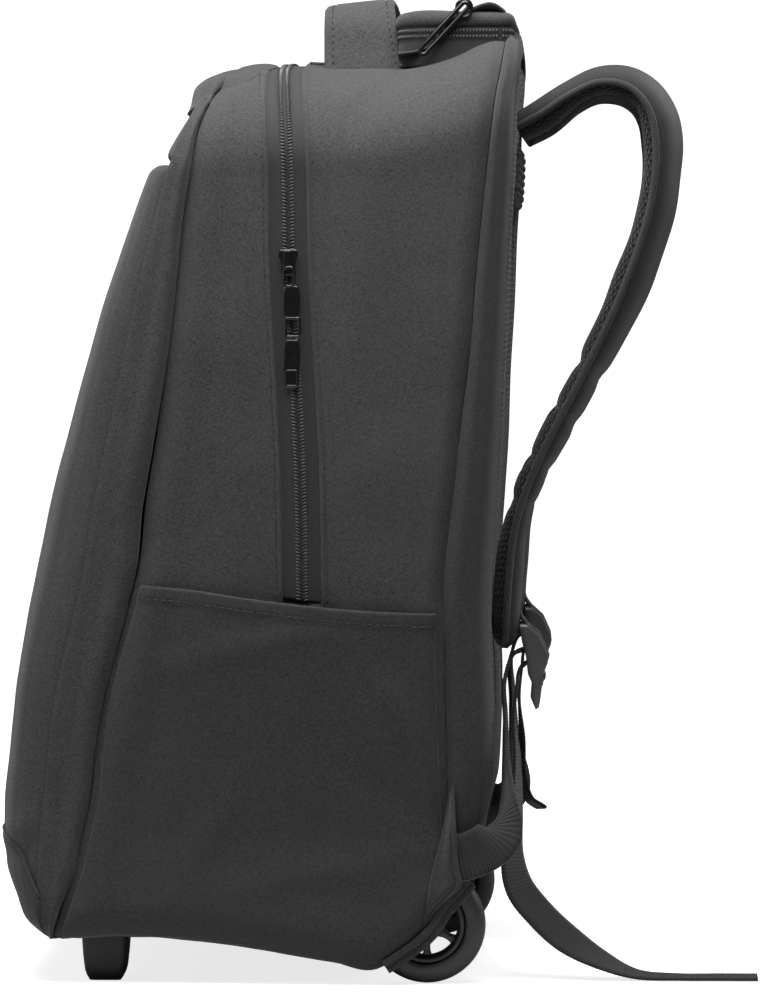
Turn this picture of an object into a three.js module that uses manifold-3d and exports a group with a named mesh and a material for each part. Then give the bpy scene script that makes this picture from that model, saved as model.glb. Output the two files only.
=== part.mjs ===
// A wheeled backpack: a soft bag on a rigid base with two wheels and two front feet,
// padded shoulder straps with webbing and ladder locks, a grab handle and a zipped trolley pocket.
// Millimetres, +Z up, the front pockets face -Y and the shoulder straps +Y, the bag's width is X.
import * as THREE from "three";
import { mergeVertices } from "three/addons/utils/BufferGeometryUtils.js";
import Module from "manifold-3d";

const wasm = await Module();
wasm.setup();

// Driving sizes of the bag
const bagWidth = 310;
const bagDepth = 276;
const bagHeight = 466;
const rideHeight = 22;
const clothWall = 2.4;
const panelWall = 3;
const fit = 0.3;
const topCorner = 70;
const topCornerDrop = 52;
const lowCorner = 22;
const topCrown = 5;
const sideSwell = 4;
const seamInset = 6;
const frontRoll = 40;

// Driving sizes of the zip, pockets, lid and handle
const zipWidth = 21;
const zipProud = 0.8;
const zipBackSet = 1.2;
const pocketEdge = 2;
const pocketSwell = 10;
const pocketWall = 1.6;
const pocketRim = 4;
const handleSpan = 150;
const handleRise = 31;
const handleWidth = 37;
const handleThick = 5;
const handleSunk = 14;
const handleSlope = 0.11;
const lidWidth = 196;
const lidDepth = 64;
const lidThick = 9;
const lidRise = 25;
const lidCorner = 26;
const lidZipWall = 1.6;
const backPadWidth = 200;
const backPadHeight = 34;
const backPadThick = 3.4;
const backPadRibs = 4;
const pullWidth = 8;
const pullThick = 1.6;

// Driving sizes of the straps
const strapWidth = 62;
const strapThick = 18;
const strapInset = 59;
const strapSpread = bagWidth / 2 - strapInset;
const webWidth = 25;
const webThick = 1.6;
const lockLength = 30;
const lockRail = 4;
const lockThick = 3.2;
const barRadius = 1.7;

// Driving sizes of the running gear
const wheelRadius = 31;
const wheelWidth = 20;
const tyreThick = 10;
const hubWall = 5;
const spokes = 6;
const axleRadius = 3;
const axleHead = 6;
const axleReach = 14;
const headInset = 1.5;
const wheelInset = 12;
const wheelClear = 4;
const baseWall = 3;
const baseHeight = 72;
const footWidth = 34;
const footLength = 27;
const footTaper = 4;

// Side view of the bag: how far back, as a share of the depth, each seam lies at each share of the height
const sideLines = [
  { up: 0.0, front: 0.092, seam: 0.1015, rear: 0.868, back: 0.885 },
  { up: 0.024, front: 0.048, seam: 0.116, rear: 0.868, back: 0.888 },
  { up: 0.05, front: 0.028, seam: 0.131, rear: 0.868, back: 0.893 },
  { up: 0.08, front: 0.01, seam: 0.149, rear: 0.867, back: 0.905 },
  { up: 0.115, front: 0.003, seam: 0.163, rear: 0.865, back: 0.925 },
  { up: 0.16, front: 0.002, seam: 0.18, rear: 0.862, back: 0.938 },
  { up: 0.21, front: 0.0115, seam: 0.188, rear: 0.859, back: 0.944 },
  { up: 0.275, front: 0.023, seam: 0.204, rear: 0.856, back: 0.945 },
  { up: 0.37, front: 0.05, seam: 0.249, rear: 0.853, back: 0.9395 },
  { up: 0.42, front: 0.066, seam: 0.271, rear: 0.856, back: 0.942 },
  { up: 0.49, front: 0.0885, seam: 0.284, rear: 0.869, back: 0.95 },
  { up: 0.56, front: 0.119, seam: 0.303, rear: 0.881, back: 0.9575 },
  { up: 0.64, front: 0.155, seam: 0.3215, rear: 0.897, back: 0.9635 },
  { up: 0.73, front: 0.199, seam: 0.3415, rear: 0.9105, back: 0.9705 },
  { up: 0.8, front: 0.2395, seam: 0.3555, rear: 0.921, back: 0.975 },
  { up: 0.877, front: 0.287, seam: 0.3745, rear: 0.935, back: 0.983 },
  { up: 0.93, front: 0.335, seam: 0.3935, rear: 0.945, back: 0.985 },
  { up: 0.965, front: 0.376, seam: 0.4215, rear: 0.953, back: 0.9885 },
  { up: 0.99, front: 0.4176, seam: 0.458, rear: 0.96, back: 0.996 },
  { up: 1.04, front: 0.5, seam: 0.53, rear: 0.969, back: 0.999 },
];

// Sections from the front seam to the rear seam: lowest and highest cloth, and how far the sides draw in
const mainSections = [
  { at: 0, low: 0.002, high: 0.99, inset: 1 },
  { at: 0.035, low: 0.001, high: 0.993, inset: 0.3 },
  { at: 0.155, low: 0.004, high: 0.998, inset: 0.05 },
  { at: 0.45, low: -0.006, high: 0.9985, inset: 0 },
  { at: 0.69, low: -0.024, high: 1.003, inset: 0 },
  { at: 0.82, low: -0.031, high: 1.016, inset: 0.02 },
  { at: 0.9, low: -0.004, high: 1.028, inset: 0.08 },
  { at: 0.965, low: 0.03, high: 1.033, inset: 0.25 },
  { at: 1, low: 0.055, high: 1.033, inset: 0.8 },
];

// Sections from the front seam to the front face; the last ones roll round to the face
const frontSections = [
  { at: 0, low: 0.002, high: 0.988, inset: 0.16 },
  { at: 0.06, low: 0.001, high: 0.987, inset: 0.06 },
  { at: 0.3, low: 0.001, high: 0.986, inset: 0.03 },
  { at: 0.5, low: 0.002, high: 0.985, inset: 0.05 },
];
const rollSections = [
  { at: 0.5, low: 0.002, high: 0.985, inset: 0.05 },
  { at: 0.62, low: 0.004, high: 0.984, inset: 0.11 },
  { at: 0.78, low: 0.009, high: 0.982, inset: 0.26 },
  { at: 0.91, low: 0.018, high: 0.979, inset: 0.52 },
  { at: 1, low: 0.034, high: 0.975, inset: 1 },
];

// Sections from the rear seam to the back
const backSections = [
  { at: 0, low: 0.055, high: 1.033, inset: 0.8 },
  { at: 0.12, low: 0.06, high: 1.036, inset: 0.4 },
  { at: 0.6, low: 0.078, high: 1.036, inset: 0.6 },
  { at: 0.88, low: 0.1, high: 1.028, inset: 1.3 },
  { at: 1, low: 0.12, high: 1.012, inset: 2.4 },
];

// The main zip's band in the side view: its middle, as shares of the depth and the height
const zipLine = [
  { up: 1.06, along: 0.524 },
  { up: 0.99, along: 0.541 },
  { up: 0.93, along: 0.5515 },
  { up: 0.73, along: 0.563 },
  { up: 0.635, along: 0.573 },
  { up: 0.54, along: 0.581 },
  { up: 0.385, along: 0.586 },
];
const zipTaper = 0.7;

// Shoulder strap, from its seam at the top of the back to its lower end
const strapRows = [
  { along: 0.995, up: 0.924, out: 0.72, thick: 0.92, wide: 0.94, turn: 0 },
  { along: 1.034, up: 0.937, out: 0.73, thick: 0.95, wide: 0.97, turn: 0 },
  { along: 1.092, up: 0.962, out: 0.75, thick: 0.86, wide: 1, turn: 2 },
  { along: 1.146, up: 0.977, out: 0.77, thick: 0.86, wide: 1, turn: 4 },
  { along: 1.199, up: 0.976, out: 0.79, thick: 0.86, wide: 1, turn: 6 },
  { along: 1.238, up: 0.962, out: 0.8, thick: 0.88, wide: 1, turn: 8 },
  { along: 1.263, up: 0.938, out: 0.81, thick: 0.92, wide: 1, turn: 9 },
  { along: 1.272, up: 0.908, out: 0.82, thick: 0.96, wide: 1, turn: 9 },
  { along: 1.27, up: 0.872, out: 0.83, thick: 1, wide: 1, turn: 8 },
  { along: 1.2567, up: 0.822, out: 0.84, thick: 1, wide: 1, turn: 8 },
  { along: 1.202, up: 0.73, out: 0.87, thick: 1, wide: 1, turn: 7 },
  { along: 1.1245, up: 0.639, out: 0.9, thick: 0.88, wide: 0.97, turn: 5 },
  { along: 1.042, up: 0.549, out: 0.94, thick: 0.82, wide: 0.92, turn: 3 },
  { along: 1.0057, up: 0.503, out: 0.96, thick: 0.8, wide: 0.9, turn: 1 },
  { along: 0.984, up: 0.457, out: 0.98, thick: 0.76, wide: 0.87, turn: 0 },
  { along: 0.9745, up: 0.402, out: 1, thick: 0.66, wide: 0.84, turn: 0 },
  { along: 0.9705, up: 0.366, out: 1, thick: 0.6, wide: 0.74, turn: 0 },
  { along: 0.963, up: 0.332, out: 1, thick: 0.34, wide: 0.5, turn: 0 },
];

// Ladder lock: where its middle bar lies, and how far it leans out from straight down
const lockPlace = { along: 1.021, up: 0.3236 };
const lockLean = 22;

// Webbing sewn along the shoulder strap's lower end, down to the ladder lock
const upperWebRows = [
  { along: 0.9985, up: 0.418, out: 0, turn: 0 },
  { along: 0.9945, up: 0.39, out: 0, turn: 0 },
  { along: 0.9955, up: 0.368, out: 0, turn: 0 },
];

// Webbing from the tab on the base up to the ladder lock: turn is 90 where its face looks sideways
const lowerWebRows = [
  { along: 0.836, up: 0.094, out: 1, turn: 90 },
  { along: 0.868, up: 0.096, out: 1, turn: 90 },
  { along: 0.905, up: 0.1, out: 1, turn: 90 },
  { along: 0.946, up: 0.11, out: 0.97, turn: 82 },
  { along: 0.974, up: 0.13, out: 0.88, turn: 60 },
  { along: 0.986, up: 0.16, out: 0.74, turn: 36 },
  { along: 0.984, up: 0.2, out: 0.56, turn: 18 },
  { along: 0.976, up: 0.25, out: 0.32, turn: 6 },
  { along: 0.966, up: 0.285, out: 0.14, turn: 2 },
  { along: 0.972, up: 0.306, out: 0.05, turn: 0 },
  { along: 0.985, up: 0.3215, out: 0.01, turn: 0 },
];

// The free tails, from the ladder lock down: the right one reaches the floor, the left one is cut short
const longTail = [
  { along: 0.9955, up: 0.304, out: 0, turn: 0 },
  { along: 0.99, up: 0.285, out: 0, turn: 0 },
  { along: 0.984, up: 0.25, out: 0, turn: 0 },
  { along: 0.99, up: 0.2, out: 0.02, turn: 6 },
  { along: 0.988, up: 0.14, out: 0.04, turn: 14 },
  { along: 0.982, up: 0.09, out: 0.08, turn: 26 },
  { along: 0.996, up: 0.055, out: 0.12, turn: 34 },
  { along: 1.034, up: 0.026, out: 0.16, turn: 34 },
  { along: 1.086, up: -0.002, out: 0.2, turn: 32 },
  { along: 1.15, up: -0.025, out: 0.24, turn: 18 },
  { along: 1.22, up: -0.0415, out: 0.26, turn: 4 },
  { along: 1.3, up: -0.0445, out: 0.27, turn: 0 },
  { along: 1.38, up: -0.0445, out: 0.27, turn: 0 },
  { along: 1.453, up: -0.0445, out: 0.27, turn: 0 },
];
const shortTail = [
  { along: 0.9955, up: 0.304, out: 0, turn: 0 },
  { along: 0.99, up: 0.285, out: 0, turn: 0 },
  { along: 0.984, up: 0.25, out: 0, turn: 0 },
  { along: 0.99, up: 0.2, out: 0.02, turn: 6 },
  { along: 0.99, up: 0.155, out: 0.04, turn: 10 },
  { along: 1.004, up: 0.124, out: 0.06, turn: 12 },
  { along: 1.03, up: 0.112, out: 0.08, turn: 12 },
];

// The side pocket's hem, and the outline of the tab that anchors the lower webbing
const hemRows = [
  { along: 0.276, up: 0.4066 },
  { along: 0.404, up: 0.4 },
  { along: 0.507, up: 0.391 },
  { along: 0.618, up: 0.383 },
  { along: 0.73, up: 0.377 },
  { along: 0.842, up: 0.3745 },
];
const tabOutline = [
  { along: 0.858, up: 0.186 },
  { along: 0.862, up: 0.172 },
  { along: 0.862, up: 0.05 },
  { along: 0.83, up: 0.03 },
  { along: 0.8, up: 0.012 },
  { along: 0.82, up: 0.036 },
  { along: 0.831, up: 0.081 },
  { along: 0.8467, up: 0.1154 },
];

// Where the front layers part, as shares of the height
const panelTop = 0.877;
const bandTop = 0.963;
const bandSetBack = 4.1;
const capSetBack = 7;
const ledgeLap = 8;
const bootRows = [
  { along: -0.3, up: 0.145 },
  { along: 0.004, up: 0.129 },
  { along: 0.05, up: 0.1 },
  { along: 0.08, up: 0.062 },
  { along: 0.115, up: 0.019 },
  { along: 0.2, up: -0.2 },
  { along: -0.3, up: -0.2 },
];

// Finishes
const cloth = { color: 0x46474a, roughness: 0.92, metalness: 0 };
const darkCloth = { color: 0x3c3d40, roughness: 0.94, metalness: 0 };
const mesh = { color: 0x1a1a1c, roughness: 0.95, metalness: 0 };
const webbing = { color: 0x303033, roughness: 0.85, metalness: 0 };
const tape = { color: 0x2a2a2c, roughness: 0.8, metalness: 0 };
const pullMetal = { color: 0x111112, roughness: 0.25, metalness: 0.7 };
const lockPlastic = { color: 0x4a4b4e, roughness: 0.5, metalness: 0 };
const basePlastic = { color: 0x141415, roughness: 0.55, metalness: 0 };
const tyreRubber = { color: 0x3c3c3e, roughness: 0.6, metalness: 0 };
const axleSteel = { color: 0x8c8e92, roughness: 0.35, metalness: 1 };

// Rows of points up a side, at the same heights on every piece so that neighbours meet
const sideRows = 10;
const sideStart = 0.12;
const sideEnd = 0.86;

const model = new THREE.Group();
const mix = THREE.MathUtils.lerp;
const radians = THREE.MathUtils.degToRad;

// Places on the bag from shares of its depth and height
const alongOf = (share) => bagDepth * (share - 0.5);
const heightOf = (share) => rideHeight + bagHeight * share;

// A smooth curve through a table's rows, read at one value of its first column
function readTable(rows, key, column, value) {
  const rising = rows[0][key] < rows[rows.length - 1][key];
  const sorted = rising ? rows : [...rows].reverse();
  const last = sorted.length - 1;
  const limited = THREE.MathUtils.clamp(value, sorted[0][key], sorted[last][key]);
  let index = 0;
  while (index < last - 1 && sorted[index + 1][key] < limited) index += 1;
  const row = (i) => sorted[THREE.MathUtils.clamp(i, 0, last)];
  const slope = (i) => (row(i + 1)[column] - row(i - 1)[column]) / (row(i + 1)[key] - row(i - 1)[key]);
  const span = row(index + 1)[key] - row(index)[key];
  const t = (limited - row(index)[key]) / span;
  const rise = row(index + 1)[column] - row(index)[column];
  const startSlope = slope(index) * span;
  const endSlope = slope(index + 1) * span;
  const cubic = startSlope + endSlope - 2 * rise;
  const square = 3 * rise - 2 * startSlope - endSlope;
  return row(index)[column] + t * (startSlope + t * (square + t * cubic));
}

const lineAt = (line, z) => alongOf(readTable(sideLines, "up", line, (z - rideHeight) / bagHeight));

// A closed mesh from points and triangles, turned so that its faces look out
function closedGeometry(points, triangles) {
  let volume = 0;
  for (const [a, b, c] of triangles) volume += points[a].dot(points[b].clone().cross(points[c]));
  const ordered = volume < 0 ? triangles.map(([a, b, c]) => [a, c, b]) : triangles;
  const geometry = new THREE.BufferGeometry();
  geometry.setFromPoints(points);
  geometry.setIndex(ordered.flat());
  return geometry;
}

// The skin over rings with equal counts; rungs close a mirrored ring, a fan closes a convex one
function skin(rings, mirrored) {
  const count = rings[0].length;
  const points = rings.flat();
  const triangles = [];
  for (let r = 0; r + 1 < rings.length; r += 1) {
    for (let i = 0; i < count; i += 1) {
      const next = (i + 1) % count;
      const [a, b] = [r * count + i, r * count + next];
      triangles.push([a, b, b + count], [a, b + count, a + count]);
    }
  }
  const endFaces = mirrored ? rungFaces(count) : fanFaces(count);
  const lastStart = (rings.length - 1) * count;
  for (const [a, b, c] of endFaces) {
    triangles.push([a, c, b], [lastStart + a, lastStart + b, lastStart + c]);
  }
  return closedGeometry(points, triangles);
}

function fanFaces(count) {
  return Array.from({ length: count - 2 }, (_, i) => [0, i + 1, i + 2]);
}

function rungFaces(count) {
  const faces = [];
  for (let i = 0; i < count / 2; i += 1) {
    const [a, b, c, d] = [i, i + 1, count - i - 1, (count - i) % count];
    if (b !== c) faces.push([a, b, c]);
    if (a !== d) faces.push([a, c, d]);
  }
  return faces;
}

// Solids for joining and cutting
function solid(geometry) {
  const bare = new THREE.BufferGeometry();
  bare.setAttribute("position", geometry.getAttribute("position"));
  bare.setIndex(geometry.index);
  const merged = mergeVertices(bare, 1e-4);
  const vertProperties = merged.getAttribute("position").array;
  const triVerts = new Uint32Array(merged.index.array);
  return new wasm.Manifold(new wasm.Mesh({ numProp: 3, vertProperties, triVerts }));
}

function geometryOf(made) {
  const out = made.getMesh();
  const positions = new Float32Array(out.numVert * 3);
  for (let i = 0; i < out.numVert; i += 1) {
    positions.set(out.vertProperties.subarray(i * out.numProp, i * out.numProp + 3), i * 3);
  }
  const geometry = new THREE.BufferGeometry();
  geometry.setAttribute("position", new THREE.BufferAttribute(positions, 3));
  geometry.setIndex(new THREE.BufferAttribute(new Uint32Array(out.triVerts), 1));
  return geometry;
}

function block(x0, x1, y0, y1, z0, z1) {
  const box = new THREE.BoxGeometry(x1 - x0, y1 - y0, z1 - z0);
  return solid(box.translate((x0 + x1) / 2, (y0 + y1) / 2, (z0 + z1) / 2));
}

// A side-view outline of [y, z] points carried across the bag from x0 to x1
function sidePrism(outline, x0, x1) {
  const shape = new THREE.Shape(outline.map(([y, z]) => new THREE.Vector2(y, z)));
  const raised = new THREE.ExtrudeGeometry(shape, { depth: x1 - x0, bevelEnabled: false });
  const [across, back, up] = [0, 1, 2].map((axis) => new THREE.Vector3().setComponent(axis, 1));
  const turned = new THREE.Matrix4().makeBasis(back, up, across);
  return solid(raised.applyMatrix4(turned).translate(x0, 0, 0));
}

// A round bar or disc along X
function rod(radius, x0, x1, y, z, sides = 24) {
  const bar = new THREE.CylinderGeometry(radius, radius, x1 - x0, sides);
  return solid(bar.rotateZ(Math.PI / 2).translate((x0 + x1) / 2, y, z));
}

function mirrored(made) {
  return made.scale([-1, 1, 1]);
}

function add(name, made, finish) {
  const geometry = made.isBufferGeometry ? made : geometryOf(made);
  const node = new THREE.Mesh(geometry, new THREE.MeshStandardMaterial(finish));
  node.name = name;
  model.add(node);
  return made;
}

// One half of a cross-section: up the right side from the middle of the bottom to the middle of the top
function halfSection(half, low, high, swell) {
  const lowSteps = 3;
  const highSteps = 6;
  const sideHigh = high - topCrown - topCornerDrop;
  const points = [[0, low - 0.5]];
  for (let k = 0; k <= lowSteps; k += 1) {
    const angle = (Math.PI / 2) * (k / lowSteps);
    points.push([half - lowCorner * (1 - Math.sin(angle)), low + lowCorner * (1 - Math.cos(angle))]);
  }
  for (let k = 1; k < sideRows; k += 1) {
    const t = k / sideRows;
    points.push([half + swell * Math.sin(Math.PI * t), heightOf(mix(sideStart, sideEnd, t))]);
  }
  for (let k = 0; k <= highSteps; k += 1) {
    const angle = (Math.PI / 2) * (k / highSteps);
    points.push([half - topCorner * (1 - Math.cos(angle)), sideHigh + topCornerDrop * Math.sin(angle)]);
  }
  points.push([0, high]);
  return points;
}

// A length of the bag between two of its side-view lines, from a table of sections
function bagPiece(sections, from, to, insetSize, grow = 0, swellOf = () => 0) {
  const rings = sections.map((row) => {
    const half = bagWidth / 2 - insetSize * row.inset + grow;
    const low = heightOf(row.low) - grow;
    const high = heightOf(row.high) + grow;
    const outline = halfSection(half, low, high, sideSwell * (1 - Math.min(1, row.inset)) + swellOf(row.at));
    const point = (x, z) => {
      const y = mix(lineAt(from, z), lineAt(to, z), row.at);
      const way = Math.sign(lineAt(to, z) - lineAt(from, z));
      return new THREE.Vector3(x, y + grow * way * (2 * row.at - 1), z);
    };
    const right = outline.map(([x, z]) => point(x, z));
    const left = outline.slice(1, -1).reverse().map(([x, z]) => point(-x, z));
    return [...right, ...left];
  });
  return solid(skin(rings, true));
}

const mainBody = (grow, swellOf) => bagPiece(mainSections, "seam", "rear", seamInset, grow, swellOf);
const backBody = (grow) => bagPiece(backSections, "rear", "back", seamInset, grow);

// The zip's band seen from the side, widened or narrowed by a clearance
function zipOutline(clearance) {
  const bandAt = (row, side) => {
    const half = zipWidth / 2 - zipTaper * row.up + clearance;
    return [alongOf(row.along) + side * half, heightOf(row.up)];
  };
  const ahead = zipLine.map((row) => bandAt(row, -1));
  const behind = zipLine.map((row) => bandAt(row, 1)).reverse();
  const below = -clearance;
  ahead[ahead.length - 1][1] += below;
  behind[0][1] += below;
  return [...ahead, ...behind];
}

const sideOutline = (rows) => rows.map((row) => [alongOf(row.along), heightOf(row.up)]);
const acrossBag = (outline) => sidePrism(outline, -bagWidth, bagWidth);
const levels = (low, high) => block(-bagWidth, bagWidth, -bagDepth, bagDepth, low, high);

// Where the axle lies
const axleAlong = alongOf(0.82);
const wheelOuter = bagWidth / 2 - wheelInset;
const wheelInner = wheelOuter - wheelWidth;
const bayFront = axleAlong - wheelRadius - wheelClear - baseWall;
const bayHalf = bagWidth / 2 - seamInset - clothWall - fit;

// The main compartment: a hollow cloth shell, open along the zip and over the rigid base
const bayCut = block(-bayHalf, bayHalf, bayFront, bagDepth, -rideHeight, baseHeight + fit);
const zipCut = sidePrism(zipOutline(fit), -bagWidth, bagWidth);
const outerBody = mainBody(0);
const innerBody = mainBody(-clothWall);
const mainShell = outerBody.subtract(innerBody).subtract(zipCut).subtract(bayCut);
add("main_shell", mainShell, cloth);

// The zip's tape fills the slot, standing a little proud of the cloth
const tapeSkin = mainBody(zipProud).subtract(mainBody(-zipBackSet));
add("zip_tape", tapeSkin.intersect(sidePrism(zipOutline(0), -bagWidth, bagWidth)), tape);

// The padded back
const backPanel = backBody(-fit).subtract(bayCut);
add("back_panel", backPanel, mesh);

// The ribbed pad across the upper back
function ribbedPad() {
  const steps = backPadRibs * 6;
  const middle = heightOf(0.868);
  const rings = [];
  for (let k = 0; k <= steps; k += 1) {
    const z = middle + backPadHeight * (k / steps - 0.5);
    const wave = Math.abs(Math.sin(Math.PI * backPadRibs * (k / steps)));
    const base = lineAt("back", z) + fit;
    const crest = base + backPadThick * (0.35 + 0.65 * wave);
    const half = backPadWidth / 2;
    rings.push([
      new THREE.Vector3(-half, base, z),
      new THREE.Vector3(half, base, z),
      new THREE.Vector3(half - backPadThick, crest, z),
      new THREE.Vector3(-half + backPadThick, crest, z),
    ]);
  }
  return solid(skin(rings, false)).subtract(backBody(0));
}
add("back_pad", ribbedPad(), mesh);

// The front unit: a gusset that runs round the edge, and four layered panels before it
const frontPiece = (rows, grow) => bagPiece(rows, "seam", "front", frontRoll, grow);
const shifted = (made, y, z = 0) => made.translate([0, y, z]);

function gusset() {
  const first = frontSections[0];
  const last = frontSections[frontSections.length - 1];
  const through = [{ ...first, at: -0.3 }, ...frontSections, { ...last, at: 0.7 }];
  return frontPiece(frontSections, 0).subtract(frontPiece(through, -clothWall)).subtract(mainBody(fit));
}
add("front_gusset", gusset().intersect(levels(0, heightOf(bandTop) - fit)), cloth);

// A shell of the front's roll, moved back by a set and kept within a region
function frontPanel(setBack, keep) {
  const first = rollSections[0];
  const through = [{ ...first, at: 0.3 }, ...rollSections];
  const shell = frontPiece(rollSections, 0).subtract(frontPiece(through, -panelWall));
  const clear = frontPiece(frontSections, 0).add(mainBody(0));
  return shifted(shell, setBack).intersect(keep).subtract(shifted(clear, -fit));
}

const bootRegion = acrossBag(sideOutline(bootRows));
const panelRegion = levels(0, heightOf(panelTop)).subtract(shifted(bootRegion, fit, fit));
add("front_boot", frontPanel(0, bootRegion), darkCloth);
add("front_panel", frontPanel(0, panelRegion), cloth);
const bandRegion = levels(heightOf(panelTop) - ledgeLap, heightOf(bandTop) - fit);
add("front_band", frontPanel(bandSetBack, bandRegion), cloth);

// The cap over the front unit, from its ledge up to the main compartment
function topCap() {
  const rows = [...frontSections, ...rollSections.slice(1)];
  const through = [{ ...rows[0], at: -0.4 }, ...rows];
  const shell = frontPiece(rows, 0).subtract(frontPiece(through, -panelWall));
  const above = levels(heightOf(bandTop), bagHeight * 2);
  return shifted(shell, capSetBack).intersect(above).subtract(mainBody(fit));
}
add("top_cap", topCap(), cloth);

// A side pocket: one cloth sheet sewn down along three edges, open at its hem
const pocketSeam = 0.012;
const pocketLevels = [0.36, 0.3, 0.22, 0.14, 0.08, 0.04];
const fullness = (at) => pocketSwell * Math.sin(Math.PI * THREE.MathUtils.clamp(at, 0, 1));

function sidePocket() {
  const region = (inset, rise) => {
    const hem = hemRows.map((row) => [row.along, row.up + rise]);
    hem[0][0] += inset;
    hem[hem.length - 1][0] -= inset;
    const edgeAt = (line, up, way) => [readTable(sideLines, "up", line, up) + way * (pocketSeam + inset), up];
    const rear = pocketLevels.map((up) => edgeAt("rear", up, -1));
    const ahead = pocketLevels.map((up) => edgeAt("seam", up, 1)).reverse();
    const low = inset > 0 ? pocketRim / bagHeight : 0;
    rear[rear.length - 1][1] += low;
    ahead[0][1] += low;
    const points = [...hem, ...rear, ...ahead].map(([along, up]) => [alongOf(along), heightOf(up)]);
    return sidePrism(points, bagWidth / 2 - lowCorner, bagWidth);
  };
  const outer = mainBody(fit + pocketEdge, fullness);
  const hollow = mainBody(fit + pocketEdge - pocketWall, fullness);
  const sheet = outer.subtract(mainBody(fit)).intersect(region(0, 0));
  return sheet.subtract(hollow.intersect(region(pocketRim / bagDepth, 0.1))).subtract(bayCut);
}
const pocketRight = sidePocket();
add("side_pocket_right", pocketRight, darkCloth);
add("side_pocket_left", mirrored(pocketRight), darkCloth);

// The tab that anchors the lower webbing, over the pocket's rear corner
const tabBase = fit + pocketEdge + fit;
const tabSkin = mainBody(tabBase + webThick, fullness).subtract(mainBody(tabBase, fullness));
const tabRight = tabSkin.intersect(sidePrism(sideOutline(tabOutline), 0, bagWidth));
add("anchor_tab_right", tabRight, webbing);
add("anchor_tab_left", mirrored(tabRight), webbing);

// A band carried along table rows: its face turns about the path, and its section is flat or padded
function band(points, wides, thicks, turns, padded) {
  const curve = new THREE.CatmullRomCurve3(points, false, "centripetal");
  const corners = padded ? paddedCorners : [[1, 1], [-1, 1], [-1, -1], [1, -1]];
  const rings = points.map((point, i) => {
    const along = curve.getTangent(i / (points.length - 1));
    const sideways = new THREE.Vector3(1, 0, 0).addScaledVector(along, -along.x).normalize();
    const level = sideways.clone().applyAxisAngle(along, radians(turns[i]));
    const facing = new THREE.Vector3().crossVectors(along, level);
    return corners.map(([s, t]) =>
      point.clone().addScaledVector(level, (s * wides[i]) / 2).addScaledVector(facing, (t * thicks[i]) / 2),
    );
  });
  return skin(rings, false);
}
const paddedCorners = [
  [1, 0],
  [0.9, 0.72],
  [0.5, 1],
  [-0.5, 1],
  [-0.9, 0.72],
  [-1, 0],
  [-0.9, -0.72],
  [-0.5, -1],
  [0.5, -1],
  [0.9, -0.72],
];

const strapPoints = strapRows.map(
  (row) => new THREE.Vector3(strapSpread * row.out, alongOf(row.along), heightOf(row.up)),
);
const shoulderStrap = solid(
  band(
    strapPoints,
    strapRows.map((row) => row.wide * strapWidth),
    strapRows.map((row) => row.thick * strapThick),
    strapRows.map((row) => row.turn),
    true,
  ),
).subtract(backBody(0));
add("shoulder_strap_right", shoulderStrap, cloth);
add("shoulder_strap_left", mirrored(shoulderStrap), cloth);

// The ladder lock: two rails joined by three round bars
const lockMiddle = new THREE.Vector2(alongOf(lockPlace.along), heightOf(lockPlace.up));
const down = new THREE.Vector2(Math.sin(radians(lockLean)), -Math.cos(radians(lockLean)));
const outward = new THREE.Vector2(-down.y, down.x);
const lockPoint = (u, n) => lockMiddle.clone().addScaledVector(down, u).addScaledVector(outward, n);
const topBarAt = -(lockLength / 2 - barRadius);
const lowBarAt = lockLength / 2 - barRadius;

function ladderLock() {
  const inner = webWidth / 2 + 2 * fit;
  const corners = [
    [-lockLength / 2, -lockThick / 2],
    [lockLength / 2, -lockThick / 2],
    [lockLength / 2, lockThick / 2],
    [0, lockThick * 0.9],
    [-lockLength / 2, lockThick / 2],
  ].map(([u, n]) => lockPoint(u, n).toArray());
  const rail = sidePrism(corners, inner, inner + lockRail);
  const bars = [topBarAt, 0, lowBarAt].map((u) => {
    const place = lockPoint(u, 0);
    return rod(barRadius, -inner - 1, inner + 1, place.x, place.y, 12);
  });
  const made = bars.reduce((sum, bar) => sum.add(bar), rail.add(mirrored(rail)));
  return made.translate([strapSpread, 0, 0]);
}
add("ladder_lock_right", ladderLock(), lockPlastic);
add("ladder_lock_left", mirrored(ladderLock()), lockPlastic);

// Points of webbing wrapped round a bar of the lock, from one angle to another, 0 pointing outward
const wrapRadius = barRadius + fit + webThick / 2;
function wrapped(barAt, fromAngle, toAngle, steps) {
  return Array.from({ length: steps + 1 }, (_, k) => {
    const angle = radians(mix(fromAngle, toAngle, k / steps));
    const place = lockPoint(barAt + wrapRadius * Math.sin(angle), wrapRadius * Math.cos(angle));
    return new THREE.Vector3(strapSpread, place.x, place.y);
  });
}
const webSide = bagWidth / 2 - seamInset / 10 + tabBase + webThick + fit + webThick / 2;
const webPoint = (row) =>
  new THREE.Vector3(mix(strapSpread, webSide, row.out), alongOf(row.along), heightOf(row.up));
const still = (points) => points.map(() => 0);

function webPiece(points, turns) {
  const same = (value) => points.map(() => value);
  return solid(band(points, same(webWidth), same(webThick), turns, false));
}

const loopSteps = 6;
const loopReturn = 7;
const upperLoop = wrapped(topBarAt, -20, 200, loopSteps);
const returnPlace = lockPoint(topBarAt - loopReturn, -wrapRadius - 2 * fit);
const returnEnd = new THREE.Vector3(strapSpread, returnPlace.x, returnPlace.y);
const upperPoints = [...upperWebRows.map(webPoint), ...upperLoop, returnEnd];
const besideStrap = shoulderStrap.add(shifted(shoulderStrap, fit));
const upperWeb = webPiece(upperPoints, still(upperPoints)).subtract(besideStrap);
add("strap_webbing_right", upperWeb, webbing);
add("strap_webbing_left", mirrored(upperWeb), webbing);

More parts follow.
